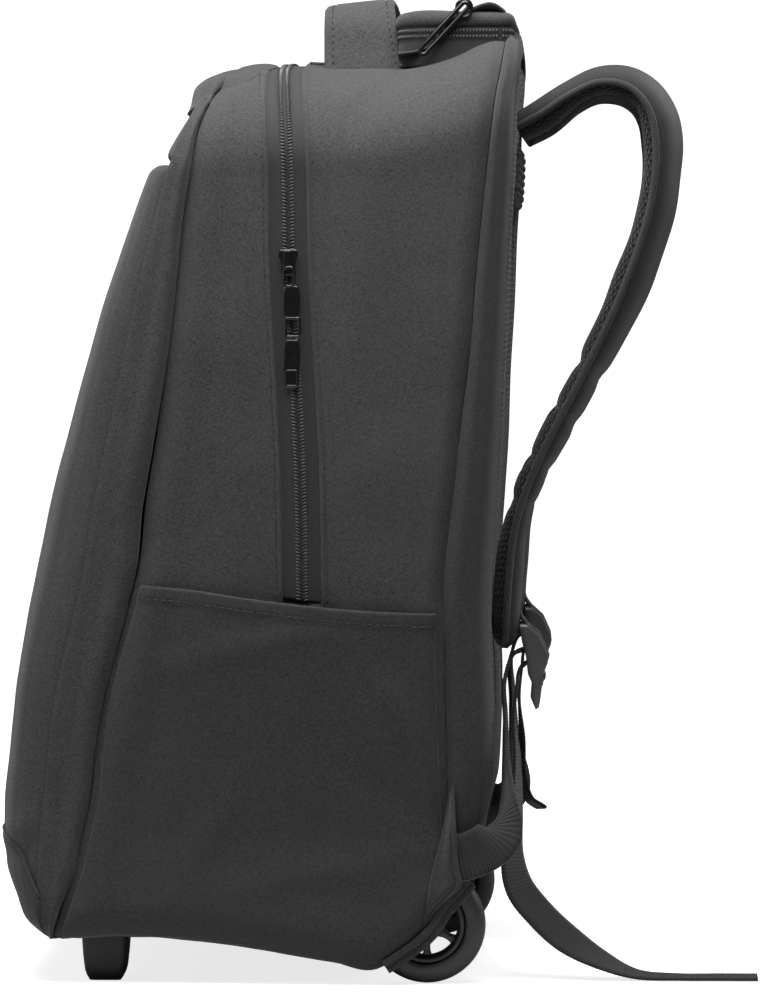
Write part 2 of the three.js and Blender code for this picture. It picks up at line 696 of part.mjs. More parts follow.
// The lower webbing: from its tab up through the lock, round the middle bar and down as the free tail
function lowerWeb(tail) {
  const loop = wrapped(0, -90, 90, loopSteps);
  const points = [...lowerWebRows.map(webPoint), ...loop, ...tail.map(webPoint)];
  const turns = [...lowerWebRows.map((row) => row.turn), ...still(loop), ...tail.map((row) => row.turn)];
  return webPiece(points, turns);
}
add("lower_webbing_right", lowerWeb(longTail), webbing);
add("lower_webbing_left", mirrored(lowerWeb(shortTail)), webbing);

// The grab handle: a wide cloth band in an arch across the top
function grabHandle() {
  const middle = alongOf(0.679);
  const foot = heightOf(1) - handleSunk;
  const crest = heightOf(1) + handleRise;
  const rows = [
    [-0.5, 0],
    [-0.47, 0.34],
    [-0.42, 0.72],
    [-0.33, 0.93],
    [-0.16, 0.99],
    [0, 1],
    [0.16, 0.99],
    [0.33, 0.93],
    [0.42, 0.72],
    [0.47, 0.34],
    [0.5, 0],
  ];
  const points = rows.map(([x, rise]) => new THREE.Vector3(x * handleSpan, middle, mix(foot, crest, rise)));
  const rings = points.map((point, i) => {
    const before = points[Math.max(i - 1, 0)];
    const after = points[Math.min(i + 1, points.length - 1)];
    const along = after.clone().sub(before).normalize();
    const facing = new THREE.Vector3(-along.z, 0, along.x);
    const slope = handleSlope * (1 - Math.abs(along.z));
    return [[-1, -1], [1, -1], [1, 1], [-1, 1]].map(([s, t]) =>
      point
        .clone()
        .addScaledVector(new THREE.Vector3(0, 1, slope), (s * handleWidth) / 2)
        .addScaledVector(facing, (t * handleThick) / 2),
    );
  });
  return solid(skin(rings, false)).subtract(mainBody(fit));
}
const handle = grabHandle();
add("grab_handle", handle, cloth);

// The lid over the trolley pocket: a padded flap with rounded front corners on a wall of zip tape
const lidBack = alongOf(0.985);
const lidTop = heightOf(1) + lidRise;
const lidCurve = 4;
function lidPlan(inset) {
  const shape = new THREE.Shape();
  const half = lidWidth / 2 - inset;
  const ahead = lidBack - lidDepth + inset;
  const round = lidCorner - inset;
  shape.moveTo(-half, lidBack - inset);
  shape.lineTo(-half, ahead + round);
  shape.absarc(-half + round, ahead + round, round, Math.PI, 1.5 * Math.PI, false);
  shape.absarc(half - round, ahead + round, round, 1.5 * Math.PI, 2 * Math.PI, false);
  shape.lineTo(half, lidBack - inset);
  shape.closePath();
  return shape;
}
function lidSlab(inset, low, high) {
  const settings = { depth: high - low, bevelEnabled: false, curveSegments: lidCurve };
  const slab = new THREE.ExtrudeGeometry(lidPlan(inset), settings);
  return solid(mergeVertices(slab.translate(0, 0, low)));
}
function trolleyLid() {
  const soft = new THREE.ExtrudeGeometry(lidPlan(lidThick / 3), {
    depth: lidThick / 3,
    bevelThickness: lidThick / 3,
    bevelSize: lidThick / 3,
    bevelSegments: 2,
    curveSegments: lidCurve,
  });
  return solid(soft.translate(0, 0, lidTop - (2 * lidThick) / 3));
}
const underLid = mainBody(fit).add(backBody(fit));
const lid = trolleyLid().subtract(underLid).subtract(handle);
add("trolley_lid", lid, cloth);
const tapeWall = lidSlab(lidZipWall, 0, lidTop - lidThick - fit);
const tapeHollow = lidSlab(2 * lidZipWall, -1, bagHeight * 2);
const lidZip = tapeWall.subtract(tapeHollow).subtract(underLid);
add("lid_zip", lidZip.intersect(levels(heightOf(0.9), bagHeight * 2)), tape);

// Pullers: a slider on the coil, and plates that hang from it on rings
function plate(place, length, wide, lean, out, drop = 0) {
  const flat = new THREE.BoxGeometry(pullThick, wide, length);
  const y = alongOf(place.along);
  const z = heightOf(place.up) - drop;
  return solid(flat.translate(pullThick / 2, 0, -length / 2).rotateX(radians(lean)).translate(out, y, z));
}
function sideFace(up) {
  const t = (up - sideStart) / (sideEnd - sideStart);
  return bagWidth / 2 + sideSwell * Math.sin(Math.PI * THREE.MathUtils.clamp(t, 0, 1)) + zipProud + fit;
}
const sliderPlace = { along: 0.5535, up: 0.783 };
const pullPlace = { along: 0.5565, up: 0.745 };
const linkPlace = { along: 0.5575, up: 0.745 };
const tabPlace = { along: 0.5585, up: 0.745 };
const sliderLength = 15;
const pullLength = 20;
const tabLength = 34;
const linkLength = 10;
const linkLap = 1.36;
const tabLap = 6.738;
const linkDrop = pullLength - linkLap;
const tabDrop = linkDrop + linkLength - tabLap;
const pullFace = sideFace(0.56);
const sliderRight = plate(sliderPlace, sliderLength, pullWidth, 0, sideFace(0.72)).add(
  plate(sliderPlace, sliderLength, pullWidth * 0.5, 0, sideFace(0.72) + pullThick * 0.9),
);
const chain = plate(pullPlace, pullLength, pullWidth, 1, pullFace)
  .add(plate(linkPlace, linkLength, pullWidth * 0.45, 1, pullFace, linkDrop))
  .add(plate(tabPlace, tabLength, pullWidth + 0.5, 1, pullFace, tabDrop));
add("zip_slider_right", sliderRight, pullMetal);
add("zip_pull_right", chain, pullMetal);
const lidPullPlace = { along: 0.889, up: 1.0615 };
const lidPullLength = 35;
const lidPullLean = -43;
const lidPull = plate(lidPullPlace, lidPullLength, pullWidth * 0.55, lidPullLean, lidWidth / 2 + fit);
add("lid_pull", lidPull.subtract(underLid), pullMetal);

// The rigid base: a housing over the two wheels with a block between them
const axleHeight = wheelRadius;
const axleCover = 8;
const bayBack = alongOf(0.94);

function baseFrame() {
  const half = bayHalf - fit;
  const roof = block(-half, half, bayFront + fit, bayBack, baseHeight - baseWall, baseHeight);
  const front = block(-half, half, bayFront + fit, bayFront + fit + baseWall, rideHeight, baseHeight);
  const centreHalf = wheelInner - wheelClear;
  const centre = block(-centreHalf, centreHalf, bayFront + fit, bayBack, axleHeight - axleCover, baseHeight);
  const hollowHalf = centreHalf - baseWall;
  const hollowFront = bayFront + fit + baseWall;
  const hollow = block(-hollowHalf, hollowHalf, hollowFront, bayBack - baseWall, -1, baseHeight - baseWall);
  const bores = rod(axleRadius + fit, -bagWidth, bagWidth, axleAlong, axleHeight);
  return roof.add(front).add(centre).subtract(hollow).subtract(bores).intersect(outerAndBack());
}
function outerAndBack() {
  const behind = [
    [alongOf(0.8), baseHeight + 1],
    [bayBack, baseHeight + 1],
    [alongOf(0.9), heightOf(0.06)],
    [alongOf(0.8), heightOf(-0.02)],
  ];
  return mainBody(-clothWall - fit).add(levels(0, baseHeight).intersect(acrossBag(behind)));
}
add("base_frame", baseFrame(), basePlastic);

// Wheels: a spoked hub, a tyre round it, and an axle with a head outside
const hubRadius = wheelRadius - tyreThick;
const wheelSides = 24;
const windowSteps = 3;
const wheelRod = (radius, sides) => {
  const [x0, x1] = [wheelInner + hubWall, wheelOuter - hubWall];
  return rod(radius, x0, x1, axleAlong, axleHeight, sides);
};

// The outline of one window between two spokes, round the axle from one angle to another
function hubWindow(k) {
  const [near, far] = [hubRadius * 0.5, hubRadius * 0.86];
  const place = (radius, share) => {
    const angle = (2 * Math.PI * (k + share)) / spokes;
    return [axleAlong + radius * Math.cos(angle), axleHeight + radius * Math.sin(angle)];
  };
  const shares = Array.from({ length: windowSteps + 1 }, (_, i) => mix(0.2, 0.8, i / windowSteps));
  const outer = shares.map((share) => place(far, share));
  const inner = shares.map((share) => place(near, share)).reverse();
  return sidePrism([...outer, ...inner], wheelInner, wheelOuter);
}
function wheelHub() {
  let made = wheelRod(hubRadius - fit, wheelSides).subtract(wheelRod(axleRadius + 2 * fit, wheelSides / 2));
  for (let k = 0; k < spokes; k += 1) made = made.subtract(hubWindow(k));
  return made;
}
function wheelTyre() {
  const [inner, outer, half] = [hubRadius, wheelRadius, wheelWidth / 2];
  const profile = [
    [inner, -half + 1.5],
    [inner + 2, -half],
    [outer - 5, -half],
    [outer - 1.2, -half + 4],
    [outer, -half + 7],
    [outer, half - 7],
    [outer - 1.2, half - 4],
    [outer - 5, half],
    [inner + 2, half],
    [inner, half - 1.5],
    [inner, -half + 1.5],
  ].map(([r, x]) => new THREE.Vector2(r, x));
  const ring = new THREE.LatheGeometry(profile, wheelSides);
  return ring.rotateZ(-Math.PI / 2).translate(wheelInner + wheelWidth / 2, axleAlong, axleHeight);
}
function axle() {
  const shaftIn = wheelInner - wheelClear - axleReach;
  const shaftOut = wheelOuter - hubWall + fit;
  const shaft = rod(axleRadius, shaftIn, shaftOut, axleAlong, axleHeight, 12);
  const head = rod(axleHead, shaftOut, wheelOuter - headInset, axleAlong, axleHeight, 16);
  return shaft.add(head);
}
const hubRight = wheelHub();
const tyreRight = solid(wheelTyre());
add("wheel_hub_right", hubRight, basePlastic);
add("wheel_tyre_right", tyreRight, tyreRubber);
add("axle_right", axle(), axleSteel);
add("wheel_hub_left", mirrored(hubRight), basePlastic);
add("wheel_tyre_left", mirrored(tyreRight), tyreRubber);
add("axle_left", mirrored(axle()), axleSteel);

// The two front feet: blunt wedges under the bag's front edge
function foot() {
  const middle = alongOf(0.204);
  const high = rideHeight + lowCorner;
  const outline = [
    [middle - footLength / 2, high],
    [middle - footLength / 2 + 1, 3],
    [middle - footLength / 2 + footTaper, 0],
    [middle + footLength / 2 - 2 * footTaper, 0],
    [middle + footLength / 2 - footTaper, 3],
    [middle + footLength / 2, high],
  ];
  const out = bagWidth / 2 - lowCorner - footWidth;
  return sidePrism(outline, out, out + footWidth).subtract(mainBody(fit));
}
const footRight = foot();
add("foot_right", footRight, basePlastic);
add("foot_left", mirrored(footRight), basePlastic);

// The part stands on its wheels and feet, with the origin under the middle of its outline
const extent = new THREE.Box3().setFromObject(model);
const centre = extent.getCenter(new THREE.Vector3());
model.children.forEach((node) => node.geometry.translate(-centre.x, -centre.y, -extent.min.z));

export default model;
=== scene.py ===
"""A wheeled backpack: its cloth, zips, straps, webbing and wheels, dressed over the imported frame.

Lengths in the functions are millimetres in the frame's own axes: X across the bag, the pockets face -Y,
the straps +Y, the floor is at zero. They become metres where a mesh is made.
"""

import bmesh
import bpy
import numpy as np
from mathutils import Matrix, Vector


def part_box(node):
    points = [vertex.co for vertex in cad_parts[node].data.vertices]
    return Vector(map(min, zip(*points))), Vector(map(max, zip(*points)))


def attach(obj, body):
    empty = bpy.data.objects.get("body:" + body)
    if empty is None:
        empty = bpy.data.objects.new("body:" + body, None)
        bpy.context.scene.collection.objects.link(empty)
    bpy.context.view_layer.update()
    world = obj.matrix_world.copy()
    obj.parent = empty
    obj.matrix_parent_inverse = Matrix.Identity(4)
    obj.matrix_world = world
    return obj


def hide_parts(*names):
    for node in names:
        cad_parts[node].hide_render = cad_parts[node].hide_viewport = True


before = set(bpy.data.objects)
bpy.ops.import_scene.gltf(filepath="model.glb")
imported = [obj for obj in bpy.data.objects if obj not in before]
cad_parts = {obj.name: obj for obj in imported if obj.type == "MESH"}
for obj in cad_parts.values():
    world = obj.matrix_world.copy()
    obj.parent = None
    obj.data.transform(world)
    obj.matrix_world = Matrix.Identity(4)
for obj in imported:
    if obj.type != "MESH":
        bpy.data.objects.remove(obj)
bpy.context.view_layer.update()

MM = 0.001

# Small gaps that keep a division or a sign from failing
TINY = 1e-9
HAIR = 1e-6

# Driving sizes of the bag
BAG_WIDTH = 310.0
BAG_DEPTH = 276.0
BAG_HEIGHT = 466.0
RIDE_HEIGHT = 22.0
TOP_CORNER = 70.0
TOP_CORNER_DROP = 52.0
LOW_CORNER = 22.0
TOP_CROWN = 5.0
SIDE_SWELL = 4.0
SEAM_INSET = 6.0
FRONT_ROLL = 40.0
SWELL_FROM = 0.12
SWELL_TO = 0.86
CLOTH_WALL = 1.6

# Driving sizes of the zip and its stitches
ZIP_WIDTH = 21.0
ZIP_LOW = 0.385
TOOTH_PITCH = 1.75
TOOTH_LONG = 2.8
COIL_SPREAD = 1.9
STITCH_PITCH = 3.9
STITCH_LONG = 2.9
STITCH_THICK = 0.85
STITCH_OUT = 2.7

# Driving sizes of the straps and webbing
STRAP_WIDTH = 62.0
STRAP_THICK = 18.0
STRAP_SPREAD = 96.0
WEB_WIDTH = 25.0
WEB_THICK = 1.6
RIB_PITCH = 2.0
LOCK_LENGTH = 30.0
LOCK_RAIL = 4.0
BAR_RADIUS = 1.7
LOCK_LEAN = 22.0


def table(names, *rows):
    """Named columns from rows of numbers."""
    return dict(zip(names.split(), np.array(rows, float).T))


# Side view: how far back each seam lies at each share of the height, as shares of the depth
SIDE_LINES = table(
    "up front seam rear back",
    (0.0, 0.092, 0.1015, 0.868, 0.885),
    (0.024, 0.048, 0.116, 0.868, 0.888),
    (0.05, 0.028, 0.131, 0.868, 0.893),
    (0.08, 0.01, 0.149, 0.867, 0.905),
    (0.115, 0.003, 0.163, 0.865, 0.925),
    (0.16, 0.002, 0.18, 0.862, 0.938),
    (0.21, 0.0115, 0.188, 0.859, 0.944),
    (0.275, 0.023, 0.204, 0.856, 0.945),
    (0.37, 0.05, 0.249, 0.853, 0.9395),
    (0.42, 0.066, 0.271, 0.856, 0.942),
    (0.49, 0.0885, 0.284, 0.869, 0.95),
    (0.56, 0.119, 0.303, 0.881, 0.9575),
    (0.64, 0.155, 0.3215, 0.897, 0.9635),
    (0.73, 0.199, 0.3415, 0.9105, 0.9705),
    (0.8, 0.2395, 0.3555, 0.921, 0.975),
    (0.877, 0.287, 0.3745, 0.935, 0.983),
    (0.93, 0.335, 0.3935, 0.945, 0.985),
    (0.965, 0.376, 0.4215, 0.953, 0.9885),
    (0.99, 0.4176, 0.458, 0.96, 0.996),
    (1.04, 0.5, 0.53, 0.969, 0.999),
)

# Sections from the front seam to the rear seam, to the front face, and from the rear seam to the back
MAIN_SECTIONS = table(
    "at low high inset",
    (0, 0.002, 0.99, 1),
    (0.035, 0.001, 0.993, 0.3),
    (0.155, 0.004, 0.998, 0.05),
    (0.45, -0.006, 0.9985, 0),
    (0.69, -0.024, 1.003, 0),
    (0.82, -0.031, 1.016, 0.02),
    (0.9, -0.004, 1.028, 0.08),
    (0.965, 0.03, 1.033, 0.25),
    (1, 0.055, 1.033, 0.8),
)
FRONT_SECTIONS = table(
    "at low high inset",
    (0, 0.002, 0.988, 0.16),
    (0.06, 0.001, 0.987, 0.06),
    (0.3, 0.001, 0.986, 0.03),
    (0.5, 0.002, 0.985, 0.05),
    (0.62, 0.004, 0.984, 0.11),
    (0.78, 0.009, 0.982, 0.26),
    (0.91, 0.018, 0.979, 0.52),
    (1, 0.034, 0.975, 1),
)
BACK_SECTIONS = table(
    "at low high inset",
    (0, 0.055, 1.033, 0.8),
    (0.12, 0.06, 1.036, 0.4),
    (0.6, 0.078, 1.036, 0.6),
    (0.88, 0.1, 1.028, 1.3),
    (1, 0.12, 1.012, 2.4),
)

# The main zip's middle line in the side view
ZIP_LINE = table(
    "up along",
    (1.06, 0.524),
    (0.99, 0.541),
    (0.93, 0.5515),
    (0.73, 0.563),
    (0.635, 0.573),
    (0.54, 0.581),
    (0.385, 0.586),
)
ZIP_TAPER = 0.7

# The side pocket's hem
HEM = table(
    "along up",
    (0.276, 0.4066),
    (0.404, 0.4),
    (0.507, 0.391),
    (0.618, 0.383),
    (0.73, 0.377),
    (0.842, 0.3745),
)

# Where the front layers part, as shares of the height
PANEL_TOP = 0.877
BAND_TOP = 0.963
BOOT_TOP = table(
    "along up",
    (-0.3, 0.145),
    (0.004, 0.129),
    (0.05, 0.1),
    (0.08, 0.062),
    (0.115, 0.019),
    (0.2, -0.2),
)

# Shoulder strap, from its seam at the top of the back to its lower end
STRAP = table(
    "along up out thick wide turn",
    (0.995, 0.924, 0.72, 0.92, 0.94, 0),
    (1.034, 0.937, 0.73, 0.95, 0.97, 0),
    (1.092, 0.962, 0.75, 0.86, 1, 2),
    (1.146, 0.977, 0.77, 0.86, 1, 4),
    (1.199, 0.976, 0.79, 0.86, 1, 6),
    (1.238, 0.962, 0.8, 0.88, 1, 8),
    (1.263, 0.938, 0.81, 0.92, 1, 9),
    (1.272, 0.908, 0.82, 0.96, 1, 9),
    (1.27, 0.872, 0.83, 1, 1, 8),
    (1.2567, 0.822, 0.84, 1, 1, 8),
    (1.202, 0.73, 0.87, 1, 1, 7),
    (1.1245, 0.639, 0.9, 0.88, 0.97, 5),
    (1.042, 0.549, 0.94, 0.82, 0.92, 3),
    (1.0057, 0.503, 0.96, 0.8, 0.9, 1),
    (0.984, 0.457, 0.98, 0.84, 0.87, 0),
    (0.9745, 0.402, 1, 0.88, 0.84, 0),
    (0.9705, 0.366, 1, 0.86, 0.8, 0),
    (0.966, 0.328, 1, 0.8, 0.74, 0),
)

# Webbing: from the strap to the ladder lock, from the base tab to the lock, and the two free tails
LOCK_PLACE = (1.021, 0.3236)
UPPER_WEB = table(
    "along up out turn",
    (0.9985, 0.418, 0, 0),
    (0.9945, 0.39, 0, 0),
    (0.9955, 0.368, 0, 0),
)
LOWER_WEB = table(
    "along up out turn",
    (0.868, 0.097, 1, 90),
    (0.905, 0.102, 1, 90),
    (0.938, 0.112, 1, 90),
    (0.96, 0.125, 0.97, 66),
    (0.971, 0.144, 0.88, 32),
    (0.972, 0.17, 0.74, 15),
    (0.97, 0.205, 0.54, 8),
    (0.968, 0.25, 0.3, 4),
    (0.966, 0.285, 0.14, 2),
    (0.972, 0.306, 0.05, 0),
    (0.985, 0.3215, 0.01, 0),
)
LONG_TAIL = table(
    "along up out turn",
    (0.9955, 0.304, 0, 0),
    (0.99, 0.285, 0, 0),
    (0.984, 0.25, 0, 0),
    (0.99, 0.2, 0.02, 6),
    (0.988, 0.14, 0.04, 14),
    (0.982, 0.09, 0.08, 26),
    (0.996, 0.055, 0.12, 34),
    (1.034, 0.026, 0.16, 34),
    (1.086, -0.002, 0.2, 32),
    (1.15, -0.025, 0.24, 18),
    (1.22, -0.0415, 0.26, 4),
    (1.3, -0.0445, 0.27, 0),
    (1.38, -0.0445, 0.27, 0),
    (1.453, -0.0445, 0.27, 0),
)
SHORT_TAIL = table(
    "along up out turn",
    (0.9955, 0.304, 0, 0),
    (0.99, 0.285, 0, 0),
    (0.984, 0.25, 0, 0),
    (0.99, 0.2, 0.02, 6),
    (0.99, 0.155, 0.04, 10),
    (1.004, 0.124, 0.06, 12),
    (1.03, 0.112, 0.08, 12),
)

# Where the axle lies along the bag, which sets the tables' place in the frame
AXLE_SHARE = 0.82
axle_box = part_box("axle_right")
AXLE_Y = (axle_box[0].y + axle_box[1].y) / 2 / MM
Y_SHIFT = AXLE_Y - BAG_DEPTH * (AXLE_SHARE - 0.5)


def along(share):
    """A place front to back, from its share of the bag's depth."""
    return BAG_DEPTH * (np.asarray(share, float) - 0.5) + Y_SHIFT


def height(share):
    """A height, from its share of the bag's height."""
    return RIDE_HEIGHT + BAG_HEIGHT * np.asarray(share, float)


def share_up(z):
    """The share of the bag's height that a height is."""
    return (np.asarray(z, float) - RIDE_HEIGHT) / BAG_HEIGHT


def along_share(y):
    """The share of the bag's depth that a place front to back is."""
    return (np.asarray(y) - Y_SHIFT) / BAG_DEPTH + 0.5


def mix(a, b, t):
    """The value that lies a share t of the way from a to b."""
    return a + (b - a) * t


def step(value, low, high):
    """Smooth rise from 0 at low to 1 at high: 3t squared less 2t cubed."""
    t = np.clip((value - low) / (high - low), 0, 1)
    return t * t * (3 - 2 * t)


def read(rows, key, column, value):
    """Cubic through a table's rows, sloped at each row as its neighbours lie, held flat past the ends."""
    order = np.argsort(rows[key])
    xs, ys = rows[key][order], rows[column][order]
    slopes = np.gradient(ys, xs)
    value = np.clip(value, xs[0], xs[-1])
    i = np.clip(np.searchsorted(xs, value) - 1, 0, len(xs) - 2)
    span = xs[i + 1] - xs[i]
    t = (value - xs[i]) / span
    rise = ys[i + 1] - ys[i]
    start, end = slopes[i] * span, slopes[i + 1] * span
    return ys[i] + t * (start + t * (3 * rise - 2 * start - end + t * (start + end - 2 * rise)))


def line(name, z):
    """Where a side-view seam lies at a height."""
    return along(read(SIDE_LINES, "up", name, share_up(z)))


def zip_middle(z):
    """Where the main zip's middle line lies at a height."""
    return along(read(ZIP_LINE, "up", "along", share_up(z)))


def zip_half(z):
    """Half the width of the main zip's tape, which narrows a little upwards."""
    return ZIP_WIDTH / 2 - ZIP_TAPER * np.clip(share_up(z), 0, 1)


def side_bulge(z):
    """How far the side bows out at a height, as a share: a half sine between two shares of the height."""
    return np.sin(np.pi * np.clip((share_up(z) - SWELL_FROM) / (SWELL_TO - SWELL_FROM), 0, 1))


# The legs of a half section, as shares of its run: bottom, low corner, side, top corner, top
LEGS = np.array([0, 0.16, 0.22, 0.76, 0.9, 1.0])


def section(p, half, low, high, swell):
    """Half of a cross-section: flat bottom, round low corner, side bowed by a sine, elliptic shoulder,
    and a top that rises to its middle by the crown. Gives x and z."""
    p, half, low, high, swell = np.broadcast_arrays(p, half, low, high, swell)
    leg = np.clip(np.searchsorted(LEGS, p, side="right") - 1, 0, len(LEGS) - 2)
    q = (p - LEGS[leg]) / (LEGS[leg + 1] - LEGS[leg])
    turn = q * np.pi / 2
    shoulder = high - TOP_CROWN - TOP_CORNER_DROP
    side_z = mix(low + LOW_CORNER, shoulder, q)
    x = np.choose(leg, [
        q * (half - LOW_CORNER),
        half - LOW_CORNER * (1 - np.sin(turn)),
        half + swell * side_bulge(side_z),
        half - TOP_CORNER * (1 - np.cos(turn)),
        (half - TOP_CORNER) * (1 - q),
    ])
    z = np.choose(leg, [
        low,
        low + LOW_CORNER * (1 - np.cos(turn)),
        side_z,
        shoulder + TOP_CORNER_DROP * np.sin(turn),
        high - TOP_CROWN * (1 - q) ** 2,
    ])
    return x, z


def bag_points(rows, start, end, inset_size, at, p, grow=0.0, fullness=0.0):
    """Points of the bag: the section at each share `at`, set between two side-view seams. The sign of p
    is the side of the bag."""
    at, p = np.broadcast_arrays(np.asarray(at, float), np.asarray(p, float))
    share = read(rows, "at", "inset", at)
    half = BAG_WIDTH / 2 - inset_size * share + grow
    low = height(read(rows, "at", "low", at)) - grow
    high = height(read(rows, "at", "high", at)) + grow
    swell = SIDE_SWELL * (1 - np.minimum(1, share)) + fullness
    x, z = section(np.abs(p), half, low, high, swell)
    y = mix(line(start, z), line(end, z), at)
    return np.stack([np.sign(p) * x, y, z], -1)


def main_points(at, p, grow=0.0, fullness=0.0):
    """Points of the main compartment, from the front seam to the rear seam."""
    return bag_points(MAIN_SECTIONS, "seam", "rear", SEAM_INSET, at, p, grow, fullness)


def share_between(y, z):
    """How far a side-view place lies from the front seam towards the rear seam, as a share."""
    seam = line("seam", z)
    return (y - seam) / (line("rear", z) - seam)


def unit(vectors):
    """The vectors at a length of one."""
    return vectors / np.linalg.norm(vectors, axis=-1, keepdims=True)


def way_along(points):
    """The unit direction along a path at each of its points."""
    return unit(np.gradient(points, axis=0))


def grid_normals(points):
    """Unit normals of a grid: the cross product of its two differences."""
    across = np.gradient(points, axis=1)
    down = np.gradient(points, axis=0)
    normal = np.cross(across, down)
    length = np.linalg.norm(normal, axis=-1, keepdims=True)
    return normal / np.maximum(length, TINY)


def outward(points, centre):
    """The grid's normals, turned so that on the whole they look away from a centre."""
    normal = grid_normals(points)
    return normal * np.sign(np.sum(normal * (points - np.asarray(centre))))


BAG_CENTRE = (0.0, 0.0, height(0.5))
LATTICE = 97


def lattice_noise(u, v, cell, seed):
    """Smooth random hills: values on a lattice of cells, blended by 3t squared less 2t cubed."""
    values = np.random.default_rng(seed).uniform(-1, 1, (LATTICE, LATTICE))
    u, v = np.asarray(u) / cell, np.asarray(v) / cell
    iu, iv = np.floor(u).astype(int), np.floor(v).astype(int)
    fu, fv = step(u - iu, 0, 1), step(v - iv, 0, 1)
    pick = lambda a, b: values[(iu + a) % LATTICE, (iv + b) % LATTICE]
    return mix(mix(pick(0, 0), pick(1, 0), fu), mix(pick(0, 1), pick(1, 1), fu), fv)


def folds(rows, y, z):
    """Soft ridges and dents: each row a Gaussian across its line and another along it."""
    total = np.zeros(np.broadcast(y, z).shape)
    for fy, fz, lean, long, wide, high in zip(*(rows[k] for k in "along up lean long wide high".split())):
        dy, dz = y - along(fy), z - height(fz)
        turn = np.radians(lean)
        run = dz * np.cos(turn) + dy * np.sin(turn)
        off = dy * np.cos(turn) - dz * np.sin(turn)
        total = total + high * np.exp(-((run / long) ** 2) - (off / wide) ** 2)
    return total


def rolled(distance, radius):
    """How far a rolled cloth edge drops below the surface: a quarter circle from the seam inwards."""
    t = np.clip(1 - distance / radius, 0, 1)
    return -radius * (1 - np.sqrt(np.maximum(0, 1 - t * t)))


def seam_dip(distance, wide, deep):
    """The shallow valley at a seam or a row of stitches: a Gaussian of the distance from it."""
    return -deep * np.exp(-((distance / wide) ** 2))


# Meshes

def mesh_object(name, verts, faces, uv=None):
    """A smooth-shaded mesh object in metres from millimetre points; uv has one row for each point."""
    mesh = bpy.data.meshes.new(name)
    faces = faces.tolist() if isinstance(faces, np.ndarray) else faces
    mesh.from_pydata((np.asarray(verts, float).reshape(-1, 3) * MM).tolist(), [], faces)
    mesh.polygons.foreach_set("use_smooth", np.ones(len(mesh.polygons), bool))
    if uv is not None:
        loops = np.empty(len(mesh.loops), int)
        mesh.loops.foreach_get("vertex_index", loops)
        layer = mesh.uv_layers.new(name="UVMap")
        layer.data.foreach_set("uv", np.asarray(uv, float).reshape(-1, 2)[loops].ravel())
    mesh.update()
    made = bpy.data.objects.new(name, mesh)
    bpy.context.scene.collection.objects.link(made)
    return made


def grid_faces(rows, columns, wrap_rows=False, wrap_columns=False):
    """Quads of a grid of points, row by row; either way can close on itself."""
    index = np.arange(rows * columns).reshape(rows, columns)
    if wrap_rows:
        index = np.vstack([index, index[:1]])
    if wrap_columns:
        index = np.hstack([index, index[:, :1]])
    a, b, c, d = index[:-1, :-1], index[:-1, 1:], index[1:, 1:], index[1:, :-1]
    return np.stack([a, b, c, d], -1).reshape(-1, 4)


def run_lengths(points, axis):
    """Length along one way of a grid from its start, in millimetres."""
    steps = np.linalg.norm(np.diff(points, axis=axis), axis=-1)
    return np.insert(np.cumsum(steps, axis=axis), 0, 0, axis=axis)


def faces_out(points, faces, centre):
    """The faces in the order that makes them look away from a centre on the whole."""
    flat = np.asarray(points).reshape(-1, 3)
    a, b, c, d = (flat[faces[:, k]] for k in range(4))
    normal = np.cross(c - a, d - b)
    looks = np.sum(normal * ((a + c) / 2 - np.asarray(centre)))
    return faces if looks > 0 else faces[:, ::-1]


def cloth_sheet(name, points, uv, centre=BAG_CENTRE, wall=CLOTH_WALL):
    """A sheet of cloth over a grid, its wall set inward of the surface."""
    faces = faces_out(points, grid_faces(*points.shape[:2]), centre)
    made = mesh_object(name, points, faces, uv)
    thick = made.modifiers.new("wall", "SOLIDIFY")
    thick.thickness = wall * MM
    thick.offset = -1
    return made


def raised(points, high):
    """A grid lifted along its outward normals by a height at each point."""
    return points + outward(points, BAG_CENTRE) * high[..., None]


def side_map(points):
    """Cloth coordinates of a side: the place along the bag, and the length up the section."""
    return np.stack([points[..., 1], run_lengths(points, 0)], -1)


def face_map(points):
    """Cloth coordinates of a face: the lengths along both ways of its grid."""
    return np.stack([run_lengths(points, 1), run_lengths(points, 0)], -1)


def from_edges(lengths, axis):
    """How far each point of a grid lies from the nearer of its two ends along one way."""
    end = np.take(lengths, [-1], axis)
    return np.minimum(lengths, end - lengths)


def turn_out(made):
    """Turns a closed mesh's faces so that they look out."""
    work = bmesh.new()
    work.from_mesh(made.data)
    bmesh.ops.recalc_face_normals(work, faces=work.faces)
    work.to_mesh(made.data)
    work.free()


def swept(name, centres, sides, ups, profile, ends=True, wrap=False):
    """A closed profile of (side, up) pairs carried along a path: each ring is the path's point plus the
    profile on the side and up directions. The profile may be one for all or one for each point."""
    centres, sides, ups = (np.asarray(v, float) for v in (centres, sides, ups))
    profile = np.asarray(profile, float)
    if profile.ndim == 2:
        profile = np.broadcast_to(profile, (len(centres),) + profile.shape)
    rings = centres[:, None] + profile[..., :1] * sides[:, None] + profile[..., 1:] * ups[:, None]
    count, around = rings.shape[:2]
    faces = grid_faces(count, around, wrap_rows=wrap, wrap_columns=True).tolist()
    if ends and not wrap:
        faces.append(list(range(around)))
        faces.append(list(range((count - 1) * around, count * around)))
    girth, reach = run_lengths(profile[0], 0), run_lengths(centres, 0)
    uv = np.stack(np.broadcast_arrays(girth[None, :], reach[:, None]), -1)
    made = mesh_object(name, rings, faces, uv)
    turn_out(made)
    return made


